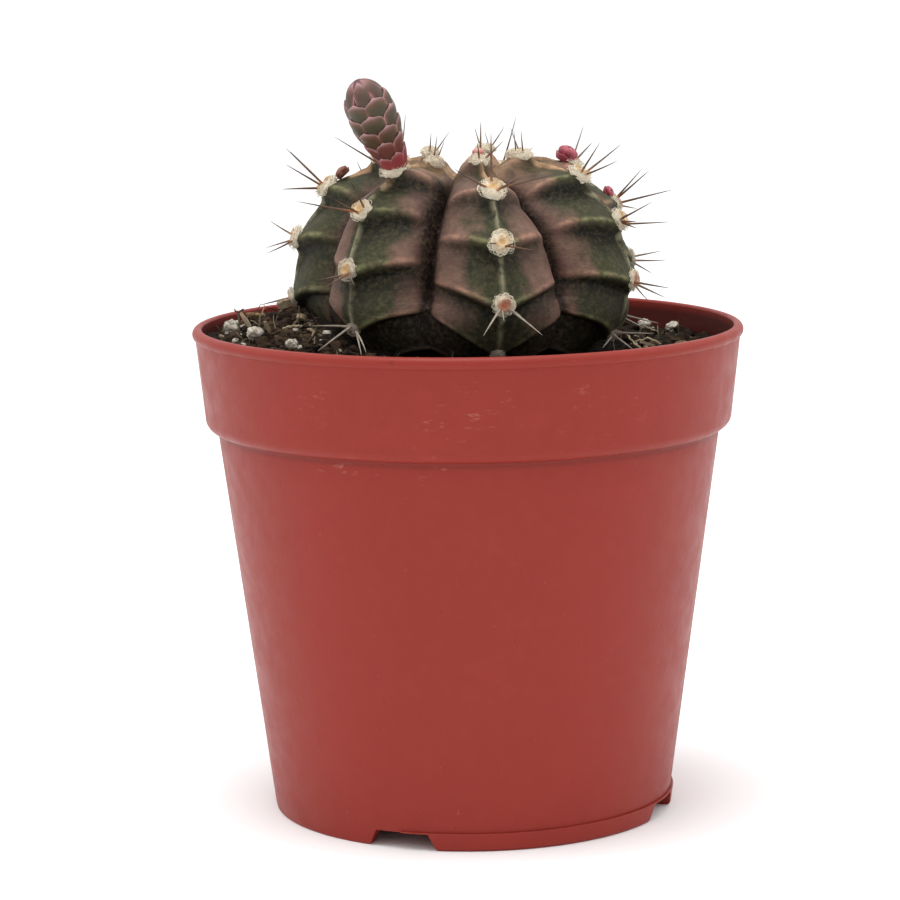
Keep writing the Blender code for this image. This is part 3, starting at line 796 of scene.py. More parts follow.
def stem_surface(azimuth, distance):
    """Points on the skin, with the fields that colour it."""
    rib, beside, sideways, reach, flank_side = rib_fields(azimuth, distance)
    radius, height, normal_r, normal_z = crest_at(distance)
    low = smooth(unit((distance - LOW_START) / (LOW_END - LOW_START)))
    depth = RIB_DEPTH * np.sin(np.minimum(1.0, radius / (0.8 * STEM_RADIUS)) * math.pi / 2)
    depth = np.minimum(depth, np.maximum(0.0, radius - 0.6 * ROOT_RADIUS))
    spread = np.minimum(1.0, radius / 12.0)
    flank = (0.6 * sideways**1.3 + 0.4 * sideways**5 * (1 - low)) * (1 - VALLEY_FILL * low)
    to_valley = 1 - sideways
    crevice = bell(to_valley, CREVICE_WIDTH) * spread * (1 - low)
    keel = bell(sideways, KEEL_WIDTH * (1 + unit((26 - distance) / 8))) * spread
    lean = (RIDGE_LEAN + RIDGE_LEAN_LOW * low) * (1 - to_valley**1.7)
    first = FIRST_AREOLE[rib] + RIDGE_BELOW_AREOLE
    side_sign = np.where(flank_side == 1, 1.0, -1.0)
    gap = (side_sign * (FIRST_AREOLE[beside] - FIRST_AREOLE[rib]) + 4.0) % AREOLE_SPACING - 4.0
    meeting = smooth(unit((distance - MEETING_START) / MEETING_LENGTH))
    first = first + 0.5 * gap * side_sign * meeting * sideways**2
    phase = ((distance + lean - first) / AREOLE_SPACING) % 1.0
    wave = step_wave(phase)
    across = np.sin(math.pi * np.minimum(1.0, sideways**0.6)) ** 0.7
    across = across * (1 - low) + low * np.minimum(1.0, sideways * 4)
    strength = 0.42 * to_valley**3 + across
    strength *= np.clip(distance / 14, 0.25, 1) * np.minimum(1.0, to_valley * 5 + low) * (1 - 0.3 * low)
    strength *= 1 + (FLANK_RIDGES[rib, flank_side] - 1) * np.minimum(1.0, sideways * 4)
    offset = -depth * flank - CREVICE_DEPTH * crevice + KEEL_HEIGHT * keel
    offset += RIDGE_HEIGHT * strength * (wave - 0.5)
    r = (radius + normal_r * offset) * reach
    z = height + normal_z * offset
    points = outward(azimuth) * r[:, None]
    points[:, 2] = z
    points[:, :2] += STEM_CENTRE
    deep = unit((distance - 31) / 7)
    shaded = np.maximum(across, deep * np.minimum(1.0, sideways * 4))
    shade_width = (0.085 + 0.13 * unit((38 - distance) / 20)) * FLANK_SHADOW[rib, flank_side]
    fields = {
        "sideways": sideways,
        "ridge": bell((phase + 0.5) % 1 - 0.47, 0.05) * unit(strength * 1.3),
        # Where the hollow just below each ridge is darkened, partly as painted shade.
        "hollow": unit((phase - 0.02) / 0.08)
        * unit((0.78 - phase) / 0.6) ** 1.2
        * unit(shaded * (to_valley**0.7 + low + 0.8 * deep) * 2.4)
        * (FLANK_RIDGES[rib, flank_side] * (1 - deep) + deep)
        * unit(distance / 12 - 0.3),
        # Below the fourth ridge, where the colour is darkened partly as painted shade.
        "under": unit((distance + lean - first - 4 * AREOLE_SPACING) / 3),
        "tint": 0.5 + FLANK_MAUVE[rib, flank_side] * np.minimum(1.0, sideways * 5),
        "shadow": unit(1.6 * bell(to_valley, shade_width)) * spread,
        "keel": keel,
        "low": low,
        "crown": unit((24.0 - distance) / 14.0),
    }
    return points, fields


def build_stem(material):
    columns = np.concatenate(
        [
            np.linspace(a, b, COLUMNS_PER_RIB, endpoint=False)
            for a, b in zip(RIB_AZIMUTHS, np.append(RIB_AZIMUTHS[1:], RIB_AZIMUTHS[0] + 360))
        ]
    )
    distances = np.linspace(0.5, CREST_LENGTH, STEM_ROWS)
    azimuth = np.tile(columns, STEM_ROWS)
    distance = np.repeat(distances, len(columns))
    points, fields = stem_surface(azimuth, distance)
    away = points - np.array([*STEM_CENTRE, WAIST])
    away /= np.linalg.norm(away, axis=1)[:, None]
    dry = 1 + 1.4 * unit((22 - distance) / 12)
    wrinkles = 0.15 * lumps(points, 2.6, 3.0) + 0.05 * lumps(points, 1.0, 5.0)
    swell = 0.45 * lumps(points, 9.0) + wrinkles * dry
    points += away * swell[:, None]
    neck = points[-len(columns) :]
    rings = [points]
    for share in ROOT_SHARES:
        ring = neck.copy()
        ring[:, :2] = STEM_CENTRE + (neck[:, :2] - STEM_CENTRE) * (1 - 0.5 * share)
        ring[:, 2] -= ROOT_LENGTH * share
        rings.append(ring)
    rows = STEM_ROWS + len(ROOT_SHARES)
    points = np.concatenate(rings)
    top = np.array([[*STEM_CENTRE, points[: len(columns), 2].mean()]])
    bottom = np.array([[*STEM_CENTRE, points[-1, 2]]])
    faces = [list(f) for f in grid_faces(rows, len(columns))]
    count = len(columns)
    first_low = (rows - 1) * count
    top_index, bottom_index = rows * count, rows * count + 1
    for k in range(count):
        j = (k + 1) % count
        faces.append([top_index, k, j])
        faces.append([bottom_index, first_low + j, first_low + k])
    extra = len(ROOT_SHARES) * count + 2
    shape = Shape()
    fields = {key: np.concatenate([value, np.zeros(extra)]) for key, value in fields.items()}
    shape.add(np.concatenate([points, top, bottom]), faces, **fields)
    shape.piece("cactus_stem", material, ["stem"], 80)


# Areoles


class Areole:
    """The place of one areole: its origin on the skin and its axes."""

    def __init__(self, name):
        self.name = name
        rib = RIBS.index(name[0])
        self.number = int(name[1:])
        self.distance = FIRST_AREOLE[rib] + AREOLE_SPACING * (self.number - 1)
        azimuth = RIB_AZIMUTHS[rib]
        self.azimuth = azimuth
        self.origin = self.on_crest(0.0)
        _, _, normal_r, normal_z = crest_at(self.distance)
        self.out = outward(azimuth) * normal_r + np.array([0, 0, normal_z])
        self.across = outward(azimuth + 90)
        self.crownwards = np.cross(self.out, self.across)

    def on_crest(self, set_back):
        """A point of the crest this far from the areole towards the crown."""
        points, _ = stem_surface(np.array([self.azimuth]), np.array([self.distance - set_back]))
        return points[0]

    def place(self, local):
        local = np.asarray(local, float)
        return self.origin + local @ np.stack([self.across, self.crownwards, self.out])

    def direction(self, clock, lift):
        """Clock runs along the skin, 0 to the crown and 90 to the side; lift is off the skin."""
        turn, tilt = math.radians(clock), math.radians(lift)
        along = (math.cos(tilt) * math.sin(turn), math.cos(tilt) * math.cos(turn), math.sin(tilt))
        return np.array(along) @ np.stack([self.across, self.crownwards, self.out])


# An areole at the soil's edge: wool only.
HALF_BURIED = "c5"

# Areoles with a rusty centre, where an old bud has dropped off.
RUSTY = ("c4", "d4")

# Spines seen from the front: clock, lift and length, root at the wool's edge on that side.
SPINES = {
    "a2": ((100, 80, 9.0), (-110, 85, 7.8), (115, 60, 7.2), (145, 40, 6.9)),
    "a3": ((-85, 40, 7.2), (-120, 35, 7.5), (115, 25, 6.9)),
    "a4": ((-95, 50, 6.9), (-120, 30, 7.2), (-145, 25, 7.5)),
    "b1": ((150, 60, 3.6), (-30, 60, 4.2)),
    "b2": ((-135, 50, 9.6), (170, 65, 4.5)),
    "b3": ((80, 70, 7.2), (160, 75, 7.5), (-130, 55, 9.3)),
    "b4": ((160, 80, 6.9), (135, 65, 7.2), (120, 30, 4.0)),
    "b5": ((-10, 50, 7.2), (5, 80, 7.5), (95, 45, 6.9), (90, 35, 7.2)),
    "c1": ((15, 65, 5.4), (-160, 50, 4.2), (135, 40, 4.2)),
    "c2": ((-5, 60, 7.2), (-95, 35, 6.9), (150, 55, 7.2), (100, 25, 7.8)),
    "c3": ((150, 80, 7.2), (130, 55, 7.2), (-105, 50, 3.0)),
    "c4": ((-130, 45, 7.0), (130, 45, 7.2), (125, 60, 3.0), (-155, 70, 4.0)),
    "d1": ((-105, 60, 4.5), (30, 62, 4.2)),
    "d2": ((-105, 60, 7.5), (115, 55, 7.2), (-145, 45, 7.2)),
    "d3": ((-90, 35, 4.6), (-90, 65, 7.2), (-110, 40, 5.0), (-155, 65, 7.5), (-120, 35, 5.0)),
    "d4": ((-110, 70, 7.2), (-125, 60, 7.2), (-125, 35, 5.4)),
    "d5": ((-15, 45, 6.6), (-65, 40, 7.2), (-95, 10, 5.0)),
    "e1": ((-80, 60, 4.2), (-85, 20, 4.2)),
    "e2": ((100, 60, 7.2), (125, 45, 6.6)),
    "e3": ((-55, 50, 6.6), (-65, 50, 7.5), (-110, 55, 9.0), (140, 40, 6.3)),
    "e4": ((90, 70, 6.9), (125, 75, 7.2), (130, 50, 7.2)),
    "e5": ((-55, 55, 6.6), (65, 65, 7.5), (-80, 50, 5.0)),
    "g1": ((40, 62, 4.0), (-50, 60, 3.6)),
}


def default_spines(number):
    """Two short spines by the crown, or a fan of three to five, raised less lower down."""
    if number == 1:
        left = (chance.uniform(-120, -40), chance.uniform(50, 70), 3.8)
        right = (chance.uniform(40, 120), chance.uniform(50, 70), 3.6)
        return [left, right]
    count = chance.choice((3, 4, 5))
    fan = []
    for i in range(count):
        clock = -120 + 240 * i / (count - 1) + chance.uniform(-16, 16)
        lift = chance.uniform(46, 66) if number < 4 else chance.uniform(30, 45)
        fan.append((clock, lift, SPINE_LENGTH * chance.uniform(0.8, 1.08)))
    return fan


def build_spines(areole, material):
    shape = Shape()
    spines = SPINES.get(areole.name) or default_spines(areole.number)
    old = 0.9 if areole.number >= 5 or areole.name == "c4" else 0.15 if areole.number == 4 else 0.0
    for clock, lift, length in spines:
        along = areole.direction(clock, lift)
        skinwards = areole.direction(clock, 0)
        root = areole.place((0, 0, 0.35 * WOOL_HEIGHT)) + skinwards * 0.8
        steps = np.linspace(0, 1, SPINE_STEPS)
        side = np.cross(along, areole.out)
        bend = chance.uniform(-0.06, 0.10) * length
        sway = chance.uniform(-0.05, 0.05) * length
        path = root + steps[:, None] * along * length
        path = path + (steps**2)[:, None] * (areole.out * bend + side * sway)
        thick = chance.uniform(0.16, 0.21) * (0.75 if length < 5 else 1.0)
        radii = thick * (1 - 0.82 * steps**1.4)
        radii[0] *= 1.35
        radii[-1] = 0.02
        points, faces = tube(path, radii, SPINE_SIDES)
        shape.add(points, faces, along=np.repeat(steps, SPINE_SIDES), age=old)
    shape.piece(f"spines_{areole.name}", material)


def build_wool(areole, material, stands_for=()):
    """A felted ring of wool round a darker centre, with loose hairs."""
    age = min(areole.number, len(WOOL_RADIUS))
    wide = WOOL_RADIUS[age - 1] * chance.uniform(0.93, 1.07)
    tall = WOOL_HEIGHT * (0.75 if age >= 4 else 1.0)
    oval = chance.uniform(0.9, 1.0)
    sizes = np.array([wide, wide * oval, tall])
    ball, faces = BALLS[4]
    seed = chance.uniform(0, 50)
    rho = np.hypot(ball[:, 0], ball[:, 1])
    upper = ball[:, 2] > 0
    swell = 0.86 + 0.10 * lumps(ball, 0.5, seed) + 0.06 * lumps(ball, 0.2, seed + 2)
    local = ball * swell[:, None]
    local[:, 2] -= np.where(upper, 0.4 * bell(rho, 0.36), 0.0)
    centred = age in (2, 3, 4)
    rusty = 1.0 if areole.name in RUSTY else 0.0
    worn = 1.0 if age >= 5 else 0.35 if age == 4 and not rusty else 0.0
    core = np.where(upper, np.exp(-((rho / (0.6 if rusty else 0.42)) ** 4)), 0.0)
    core = core * (1.0 if centred else 0.2)
    shape = Shape()
    shape.add(areole.place(local * sizes), faces, core=core, rusty=rusty, worn=worn)
    steps = np.linspace(0, 1, HAIR_STEPS)[:, None]
    for _ in range(LOOSE_HAIRS):
        turn = chance.uniform(0, math.tau)
        tilt = chance.uniform(-0.1, 1.2)
        start = heading(turn, tilt)
        side = np.array([-math.sin(turn), math.cos(turn), 0.0]) * chance.choice((-1, 1))
        path = start * (0.84 + chance.uniform(0.12, 0.3) * np.sin(steps * math.pi))
        path = (path + side * steps * chance.uniform(0.25, 0.8)) * sizes
        radii = np.full(HAIR_STEPS, chance.uniform(0.022, 0.042))
        radii[-1] = 0.01
        points, tube_faces = tube(path, radii, 4)
        near = 0.8 if tilt > 0.95 and centred else 0.0
        shape.add(areole.place(points), tube_faces, core=near, rusty=rusty, worn=worn)
    shape.piece(f"wool_{areole.name}", material, stands_for)


# Buds

# Colours of each look: body, which also serves as painted shade low on each scale, warm upper edge,
# scale margin, base and tip.
BUD_COLOURS = {
    "bud_scales": ((66, 58, 40), (114, 74, 60), (180, 142, 146), (132, 54, 54), (168, 74, 118)),
    "bud_red": ((138, 56, 68), (158, 68, 82), (190, 116, 120), (120, 50, 56), (158, 64, 84)),
    "bud_young": ((96, 56, 44), (124, 76, 60), (160, 116, 96), (90, 52, 42), (128, 70, 60)),
    "bud_pale": ((168, 104, 96), (190, 132, 120), (216, 176, 162), (150, 96, 84), (200, 128, 120)),
}
# Name, areole and look, then length, width, neck share, set-back, lean and sway in degrees, then
# rows of scales and scales in each row.
BUDS = (
    ("flower_bud", "b2", "bud_scales", (14.8, 6.7, 0.5, 0.7, 5, -4), 7, 6),
    ("red_bud", "e2", "bud_red", (2.1, 2.8, 0.95, 1.3, -6, -14), 3, 5),
    ("young_bud_left", "a2", "bud_young", (1.1, 1.9, 0.95, 3.2, 0, 0), 3, 4),
    ("young_bud_top", "c1", "bud_pale", (1.5, 1.5, 0.8, 1.2, 0, 0), 3, 4),
    ("young_bud_right", "e3", "bud_red", (1.0, 1.5, 0.9, 1.9, 0, -35), 3, 4),
)


class BudForm:
    """A club-shaped bud along its own axis, with the radius of its body."""

    def __init__(self, areole, length, width, neck, set_back, lean, sway):
        self.length = length
        self.half = width / 2
        self.neck = neck
        self.base = areole.on_crest(set_back) + areole.out * 0.2
        tilt, turn = math.radians(lean), math.radians(sway)
        axis = areole.out - areole.crownwards * math.tan(tilt) + areole.across * math.tan(turn)
        self.axis = axis / np.linalg.norm(axis)
        side = np.cross(self.axis, np.array([0.0, 1.0, 0.0]))
        self.side = side / np.linalg.norm(side)
        self.front = np.cross(self.axis, self.side)

    def radius(self, share):
        share = unit(share)
        grown = unit(share / 0.66)
        body = self.half * (self.neck + (1 - self.neck) * np.sin(grown * math.pi / 2) ** 1.5)
        cap = unit((share - 0.6) / 0.4)
        return body * np.sqrt(np.maximum(0.0, 1 - cap**2.2))

    def point(self, turn, share, lift=0.0):
        reach = self.radius(share) + lift * np.minimum(1.0, (1 - share) * 6)
        over = lift * unit((share - 0.7) / 0.3)
        ring = np.cos(turn)[..., None] * self.side + np.sin(turn)[..., None] * self.front
        return self.base + ring * reach[..., None] + self.axis * (share * self.length + over)[..., None]


def add_bud_body(shape, form, low):
    rows, columns = 26, 28
    share = np.repeat(np.linspace(0.0, 0.995, rows), columns)
    turn = np.tile(np.arange(columns) * math.tau / columns, rows)
    faces = [list(f) for f in grid_faces(rows, columns)]
    faces.append(list(range(columns)))
    faces.append(list(range((rows - 1) * columns, rows * columns))[::-1])
    points = form.point(turn, share, 0 * share - 0.05)
    shape.add(points, faces, low=low * (share < 0.15), high=share > 0.9)


def add_scale(shape, form, turn, share, half_width, height, puff, low, high):
    """One rounded scale: attached below, its free edge raised over the scales above it."""
    across, up = 15, 13
    u, v = np.meshgrid(np.linspace(-1, 1, across), np.linspace(0, 1, up))
    outline = np.maximum(0.0, 1 - unit((v - 0.5) / 0.5) ** 2.6) ** 0.5
    reach_up = v * (1 - 0.1 * np.abs(u) ** 2)
    place = np.clip(share + reach_up * height / form.length, 0.0, 0.998)
    girth = np.maximum(form.radius(place), 0.2)
    angle = turn + u * np.maximum(outline, 0.02) * half_width / girth
    dome = puff * (1 - u**2) * np.sin(v * math.pi * 0.94) ** 0.7
    lift = 0.05 + 0.3 * v**1.2 + dome
    outer = form.point(angle, place, lift).reshape(-1, 3)
    inner = form.point(angle, place, lift * 0.3 - 0.12).reshape(-1, 3)
    rim = np.maximum(v, np.abs(u) ** 1.5 * (v > 0.2))
    edge = (np.clip(rim - 0.8, 0, 0.14) / 0.14).reshape(-1)
    faces = [list(f[::-1]) for f in grid_faces(up, across, closed=False)]
    count = across * up
    faces += [[i + count for i in f[::-1]] for f in faces]
    border = list(range(across))
    border += [i * across + across - 1 for i in range(1, up)]
    border += [(up - 1) * across + i for i in range(across - 2, -1, -1)]
    border += [i * across for i in range(up - 2, 0, -1)]
    for a, b in zip(border, border[1:] + border[:1]):
        faces.append([a, b, b + count, a + count])
    # Height on the scale, which sets the painted shade low down and the warmer free edge.
    rise = np.concatenate([np.maximum(v, np.abs(u) ** 1.2).reshape(-1)] * 2)
    edge = np.concatenate([edge] * 2)
    shape.add(np.concatenate([outer, inner]), faces, edge=edge, rise=rise, low=low, high=high)


def build_bud(name, areole, material, size, rows, per_row):
    """A bud of overlapping scales in alternating rows; the flower bud's lowest rows are red."""
    flowering = name == "flower_bud"
    form = BudForm(areole, *size)
    shape = Shape()
    add_bud_body(shape, form, flowering)
    puff = 0.085 * form.half
    for row in range(rows):
        share = 0.93 * (row / (rows - 1)) ** 0.95
        girth = float(form.radius(np.array(min(share + 0.6 / rows, 0.97))))
        half_width = (0.95 if flowering and row >= rows - 2 else 1.12) * math.pi * girth / per_row
        for k in range(per_row):
            turn = (k + 0.5 * (row % 2)) * math.tau / per_row + chance.uniform(-0.05, 0.05) - 0.1
            height = min(1.6 / rows, 1.2 * (1.02 - share)) * form.length * chance.uniform(0.95, 1.05)
            low = (1.0, 0.4, 0.1)[row] if flowering and row < 3 else 0.0
            high = unit((row + 3.0 - rows) * 0.33)
            add_scale(shape, form, turn, share, half_width, height, puff, low, high)
    shape.piece(name, material, [name], 50)


# Soil


def soil_height(azimuth, radius):
    away = (azimuth - HEAP_AZIMUTH + 180) % 360 - 180
    room = wall_radius(BAND_BOTTOM) - STEM_RADIUS
    near = HEAP_AT_WALL + (1 - HEAP_AT_WALL) * unit((STEM_RADIUS + room - radius) / room)
    return SOIL_LEVEL + HEAP_HEIGHT * near * bell(away, HEAP_SPREAD)


def build_soil(material):
    """The soil's rough surface, with its side and bottom inside the pot."""
    azimuths = np.arange(SOIL_SEGMENTS) * 360 / SOIL_SEGMENTS
    gap = POT_WALL + 0.05
    edge = band_radius(SOIL_LEVEL) - gap
    floor = FLOOR_TOP + 0.05
    sides = [
        (wall_radius(floor) - gap - 0.7, floor),
        (wall_radius(BAND_BOTTOM) - gap - 0.3, BAND_BOTTOM - 1.0),
        (band_radius(BAND_BOTTOM + 2 * BAND_STEP) - gap, BAND_BOTTOM + 2 * BAND_STEP),
    ]
    radii = [r for r, _ in sides] + list(np.linspace(edge, 8.0, SOIL_RINGS))
    points = []
    for index, radius in enumerate(radii):
        ring = outward(azimuths) * radius
        if index < len(sides):
            ring[:, 2] = sides[index][1]
        else:
            rough = 0.75 * lumps(ring, 3.0, 1.0) + 0.5 * lumps(ring, 1.2, 2.0)
            rough = rough + 0.28 * lumps(ring, 0.55, 4.0)
            ring[:, 2] = soil_height(azimuths, radius) + rough
        points.append(ring)
    rows = len(radii)
    count = SOIL_SEGMENTS
    faces = [list(f[::-1]) for f in grid_faces(rows, count)]
    centre = [[0, 0, floor], [0, 0, SOIL_LEVEL]]
    for k in range(count):
        j = (k + 1) % count
        faces.append([rows * count, j, k])
        faces.append([rows * count + 1, (rows - 1) * count + k, (rows - 1) * count + j])
    shape = Shape()
    shape.add(np.concatenate([*points, centre]), faces)
    shape.piece("soil_surface", material, ["soil"], 80)


def spot_on_soil(heap_share):
    """A random place on the soil between stem and wall, more often on the heap."""
    on_heap = chance.random() < heap_share
    azimuth = chance.gauss(HEAP_AZIMUTH, 32) if on_heap else chance.uniform(-180, 180)
    radius = chance.uniform(25.0, 38.5 if on_heap else 39.2)
    return azimuth, radius, float(soil_height(azimuth, radius))


def build_crumbs(material):
    shape = Shape()
    for _ in range(CRUMBS):
        azimuth, radius, height = spot_on_soil(0.35)
        level = 2 if chance.random() < 0.3 else 1
        ball, faces = BALLS[level]
        size = chance.uniform(0.2, 0.55) if level == 1 else chance.uniform(0.5, 1.3)
        local = ball * np.array([chance.uniform(0.7, 1.25) for _ in range(len(ball))])[:, None]
        local = local * (size, size * chance.uniform(0.6, 1.2), size * chance.uniform(0.5, 0.9))
        centre = outward(azimuth) * radius + np.array([0, 0, height + size * 0.25])
        shape.add(local + centre, faces, shade=chance.choice((0.0, 0.0, 0.15, 0.35, 0.7)))
    shape.piece("soil_crumbs", material, (), 30)


def add_shard(shape, centre, size, turn, tilt, shade):
    """A splinter of bark: a box with ragged ends, turned and tilted."""
    columns = 6
    points = []
    for share in np.linspace(-0.5, 0.5, columns):
        taper = 1 - 1.1 * abs(share) ** 2
        for y, z in ((-0.5, -0.5), (0.5, -0.5), (0.5, 0.5), (-0.5, 0.5)):
            wide = y * taper * chance.uniform(0.8, 1.15)
            thick = z * taper * chance.uniform(0.8, 1.1)
            points.append((share, wide, thick))
    local = np.array(points) * np.array(size)
    faces = [list(f[::-1]) for f in grid_faces(columns, 4)]
    faces += [[0, 1, 2, 3], [4 * columns - 1 - i for i in range(4)]]
    shape.add(rotated(local, turn, tilt) + centre, faces, shade=shade)


def build_shards(material):
    shape = Shape()
    for _ in range(SHARDS):
        azimuth, radius, height = spot_on_soil(0.7)
        size = (chance.uniform(0.8, 2.8), chance.uniform(0.3, 0.9), chance.uniform(0.2, 0.5))
        centre = outward(azimuth) * min(radius, 37.8) + np.array([0, 0, height + 0.2])
        tilt = chance.gauss(0, 0.45)
        turn = chance.uniform(0, math.pi)
        add_shard(shape, centre, size, turn, tilt, chance.choice((0.0, 0.1, 0.25, 0.6)))
    for centre, size, turn, tilt, shade in SET_SHARDS:
        add_shard(shape, np.array(centre), size, turn, tilt, shade)
    shape.piece("soil_shards", material, (), 35)


def fibre_path(start, turn, tilt, length, curl):
    """A wandering strand that starts at a place and keeps its direction roughly."""
    steps = 9
    path = [np.array(start, float)]
    for _ in range(steps - 1):
        turn += chance.uniform(-curl, curl)
        tilt += chance.uniform(-curl, curl) * 0.7
        path.append(path[-1] + heading(turn, tilt) * length / (steps - 1))
    return np.array(path)


def keep_inside(path):
    """Pulls a strand's points in from the pot's wall and up from the soil."""
    reach = np.hypot(path[:, 0], path[:, 1])
    step = BAND_BOTTOM + BAND_STEP
    limit = np.array([band_radius(max(z, step)) - POT_WALL - 0.5 for z in path[:, 2]])
    shrink = np.minimum(1.0, limit / np.maximum(reach, 1e-6))
    path[:, :2] *= shrink[:, None]
    azimuth = np.degrees(np.arctan2(path[:, 0], -path[:, 1]))
    floor = soil_height(azimuth, np.hypot(path[:, 0], path[:, 1])) - 0.6
    path[:, 2] = np.maximum(path[:, 2], floor)
    return path


def add_strand(shape, path, thick, shade):
    radii = np.full(len(path), thick)
    radii[0] *= 0.7
    radii[-1] *= 0.3
    points, faces = tube(path, radii, 5)
    shape.add(points, faces, shade=shade)


def build_fibres(material):
    shape = Shape()
    for _ in range(FIBRES):
        azimuth, radius, height = spot_on_soil(0.65)
        start = outward(azimuth) * radius + np.array([0, 0, height - 0.1])
        length = chance.uniform(1.0, 4.5)
        rise = chance.gauss(0.1, 0.3)
        path = keep_inside(fibre_path(start, chance.uniform(0, math.tau), rise, length, 0.7))
        thick = chance.uniform(0.04, 0.13)
        add_strand(shape, path, thick, chance.choice((0.05, 0.15, 0.3, 0.6, 0.9)))
    for path, thick, shade in SET_STRANDS:
        ends = np.array(path, float)
        steps = np.linspace(0, len(ends) - 1, 4 * len(ends))
        strand = np.stack([np.interp(steps, range(len(ends)), column) for column in ends.T], -1)
        inner = strand[1:-1]
        inner += np.array([[chance.uniform(-0.12, 0.12) for _ in range(3)] for _ in inner])
        add_strand(shape, strand, thick, shade)
    shape.piece("soil_fibres", material)


def add_lump(shape, centre, size, level, rough, seed, turn, tilt):
    ball, faces = BALLS[level]
    reach = 1 + rough * lumps(ball, 0.6, seed) + 0.5 * rough * lumps(ball, 0.22, seed + 1)
    local = ball * reach[:, None] * np.array(size) / 2
    shape.add(rotated(local, turn, tilt) + centre, faces)


def build_perlite(material):
    for number, name in enumerate(nodes_named("perlite")):
        low, high = node_box(name)
        centre = (low + high) / 2 - np.array([0, 0, 0.5])
        shape = Shape()
        size = (high - low) * (1.0, 1.0, 1.05)
        add_lump(shape, centre, size, 4, 0.3, number * 5.3, number * 1.1, 0.2)
        shape.piece(f"grain_{name}", material, [name], 70)
    shape = Shape()
    for number in range(SMALL_PERLITE):
        azimuth, radius, height = spot_on_soil(0.45)
        size = chance.uniform(0.5, 1.5)
        centre = outward(azimuth) * radius + np.array([0, 0, height + size * 0.3])
        add_lump(shape, centre, (size, size * 0.85, size * 0.8), 2, 0.4, number, number, 0.3)
    shape.piece("perlite_small", material, (), 50)


def build_bark(material):
    for number, name in enumerate(nodes_named("bark_chip")):
        low, high = node_box(name)
        centre = (low + high) / 2 - np.array([0, 0, 0.3])
        size = np.array([max(high - low), min((high - low)[:2]) * 0.55, 0.9])
        shape = Shape()
        add_lump(shape, centre, size, 4, 0.22, 30 + number * 3.1, number * 2.2, 0.15)
        shape.piece(f"chip_{name}", material, [name], 60)


# Stage


CAMERA_PLACE = (0.0, -517.26, 137.72)
CAMERA_PITCH = 9.010
CAMERA_YAW = -0.3255
CAMERA_ROLL = -0.6444
CAMERA_LENS = 134.72
SENSOR_WIDTH = 36.0
FLOOR_HALF_SIZE = 6.0
# Brightness of the studio's surroundings, level and overhead.
WORLD_LOW = 0.8
WORLD_HIGH = 1.3
# Each disk light: name, place and target in metres, diameter, power.
LIGHTS = (
    ("left", (-0.9, 0.0, 0.6), (0, 0, 0.06), 0.9, 1.5),
    ("right", (0.9, 0.05, 0.6), (0, 0, 0.06), 0.9, 1.4),
    ("top", (-0.05, -0.1, 0.85), (0, 0, 0.08), 0.4, 3.2),
)


def add_camera():
    data = bpy.data.cameras.new("camera")
    data.sensor_width = SENSOR_WIDTH
    data.lens = CAMERA_LENS
    data.clip_end = 20.0
    camera = add_object("camera", data)
    pitch, yaw, roll = (math.radians(angle) for angle in (CAMERA_PITCH, CAMERA_YAW, CAMERA_ROLL))
    ahead = Vector((math.sin(yaw) * math.cos(pitch), math.cos(yaw) * math.cos(pitch), -math.sin(pitch)))
    right = Vector((math.cos(yaw), -math.sin(yaw), 0.0))
    up = right.cross(ahead)
    level_right = right * math.cos(roll) + up * math.sin(roll)
    level_up = up * math.cos(roll) - right * math.sin(roll)
    turn = Matrix((level_right, level_up, -ahead)).transposed().to_4x4()
    camera.matrix_world = Matrix.Translation(Vector(CAMERA_PLACE) * MM) @ turn
    bpy.context.scene.camera = camera


def add_light(name, place, target, size, power):
    data = bpy.data.lights.new(name, "AREA")
    data.shape = "DISK"
    data.size = size
    data.energy = power
    aim = (Vector(target) - Vector(place)).to_track_quat("-Z", "Y").to_matrix().to_4x4()
    add_object(name, data).matrix_world = Matrix.Translation(Vector(place)) @ aim


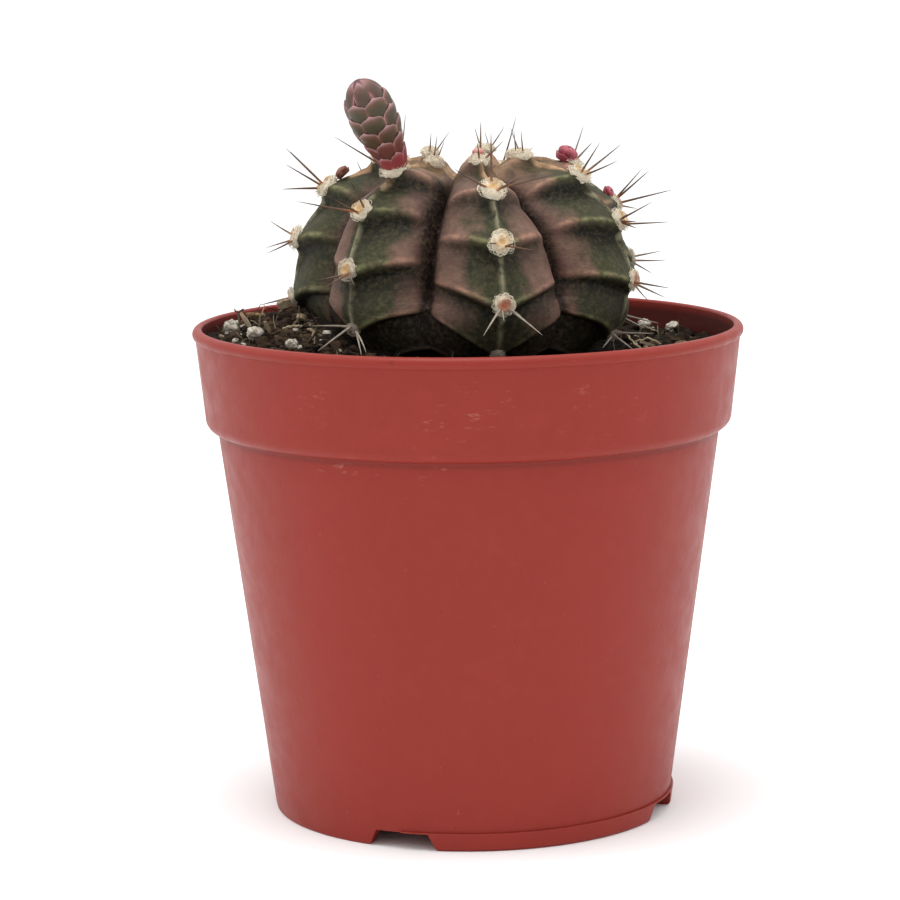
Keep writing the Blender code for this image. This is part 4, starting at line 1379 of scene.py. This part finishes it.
def add_stage():
    floor_look = Look("stage_floor", 0.9, Specular_IOR_Level=0.1)
    floor_look.colour((0.95, 0.95, 0.95))
    shape = bmesh.new()
    bmesh.ops.create_grid(shape, x_segments=1, y_segments=1, size=FLOOR_HALF_SIZE)
    floor = object_from(shape, "stage_floor")
    floor.location.z = POT_LOW[2] * MM
    floor.data.materials.append(floor_look.material)
    world = bpy.data.worlds.new("studio")
    world.use_nodes = True
    nodes, links = world.node_tree.nodes, world.node_tree.links
    nodes["Background"].inputs["Color"].default_value = (1, 1, 1, 1)
    split = nodes.new("ShaderNodeSeparateXYZ")
    links.new(nodes.new("ShaderNodeTexCoord").outputs["Generated"], split.inputs[0])
    rise = nodes.new("ShaderNodeMapRange")
    for socket, number in zip(list(rise.inputs)[1:5], (0.0, 1.0, WORLD_LOW, WORLD_HIGH)):
        socket.default_value = number
    links.new(split.outputs["Z"], rise.inputs[0])
    links.new(rise.outputs[0], nodes["Background"].inputs["Strength"])
    bpy.context.scene.world = world
    bpy.context.scene.view_settings.view_transform = "Standard"
    for light in LIGHTS:
        add_light(*light)


def main():
    add_camera()
    add_stage()
    build_pot(pot_look())
    build_soil(soil_look("potting_soil", tone(15, 11, 8), tone(44, 32, 24)))
    build_crumbs(soil_look("soil_crumb", tone(16, 12, 9), tone(66, 50, 36)))
    fibre = fibre_look()
    build_shards(fibre)
    build_fibres(fibre)
    build_perlite(grain_look("perlite_grain", tone(112, 102, 88), tone(208, 200, 186), 0.9, 0.2))
    build_bark(grain_look("bark_chip", tone(74, 54, 36), tone(142, 116, 82), 1.2, 0.25))
    build_stem(stem_look())
    wool, spine = wool_look(), spine_look()
    areoles = {}
    for node in nodes_named("areole_"):
        areole = Areole(node.split("_")[1])
        areoles[areole.name] = areole
        build_wool(areole, wool, [node])
        build_spines(areole, spine)
    build_wool(Areole(HALF_BURIED), wool)
    looks = {}
    for look, colours in BUD_COLOURS.items():
        looks[look] = bud_look(look, *(tone(*colour) for colour in colours))
    for name, areole, look, *form in BUDS:
        build_bud(name, areoles[areole], looks[look], *form)


main()
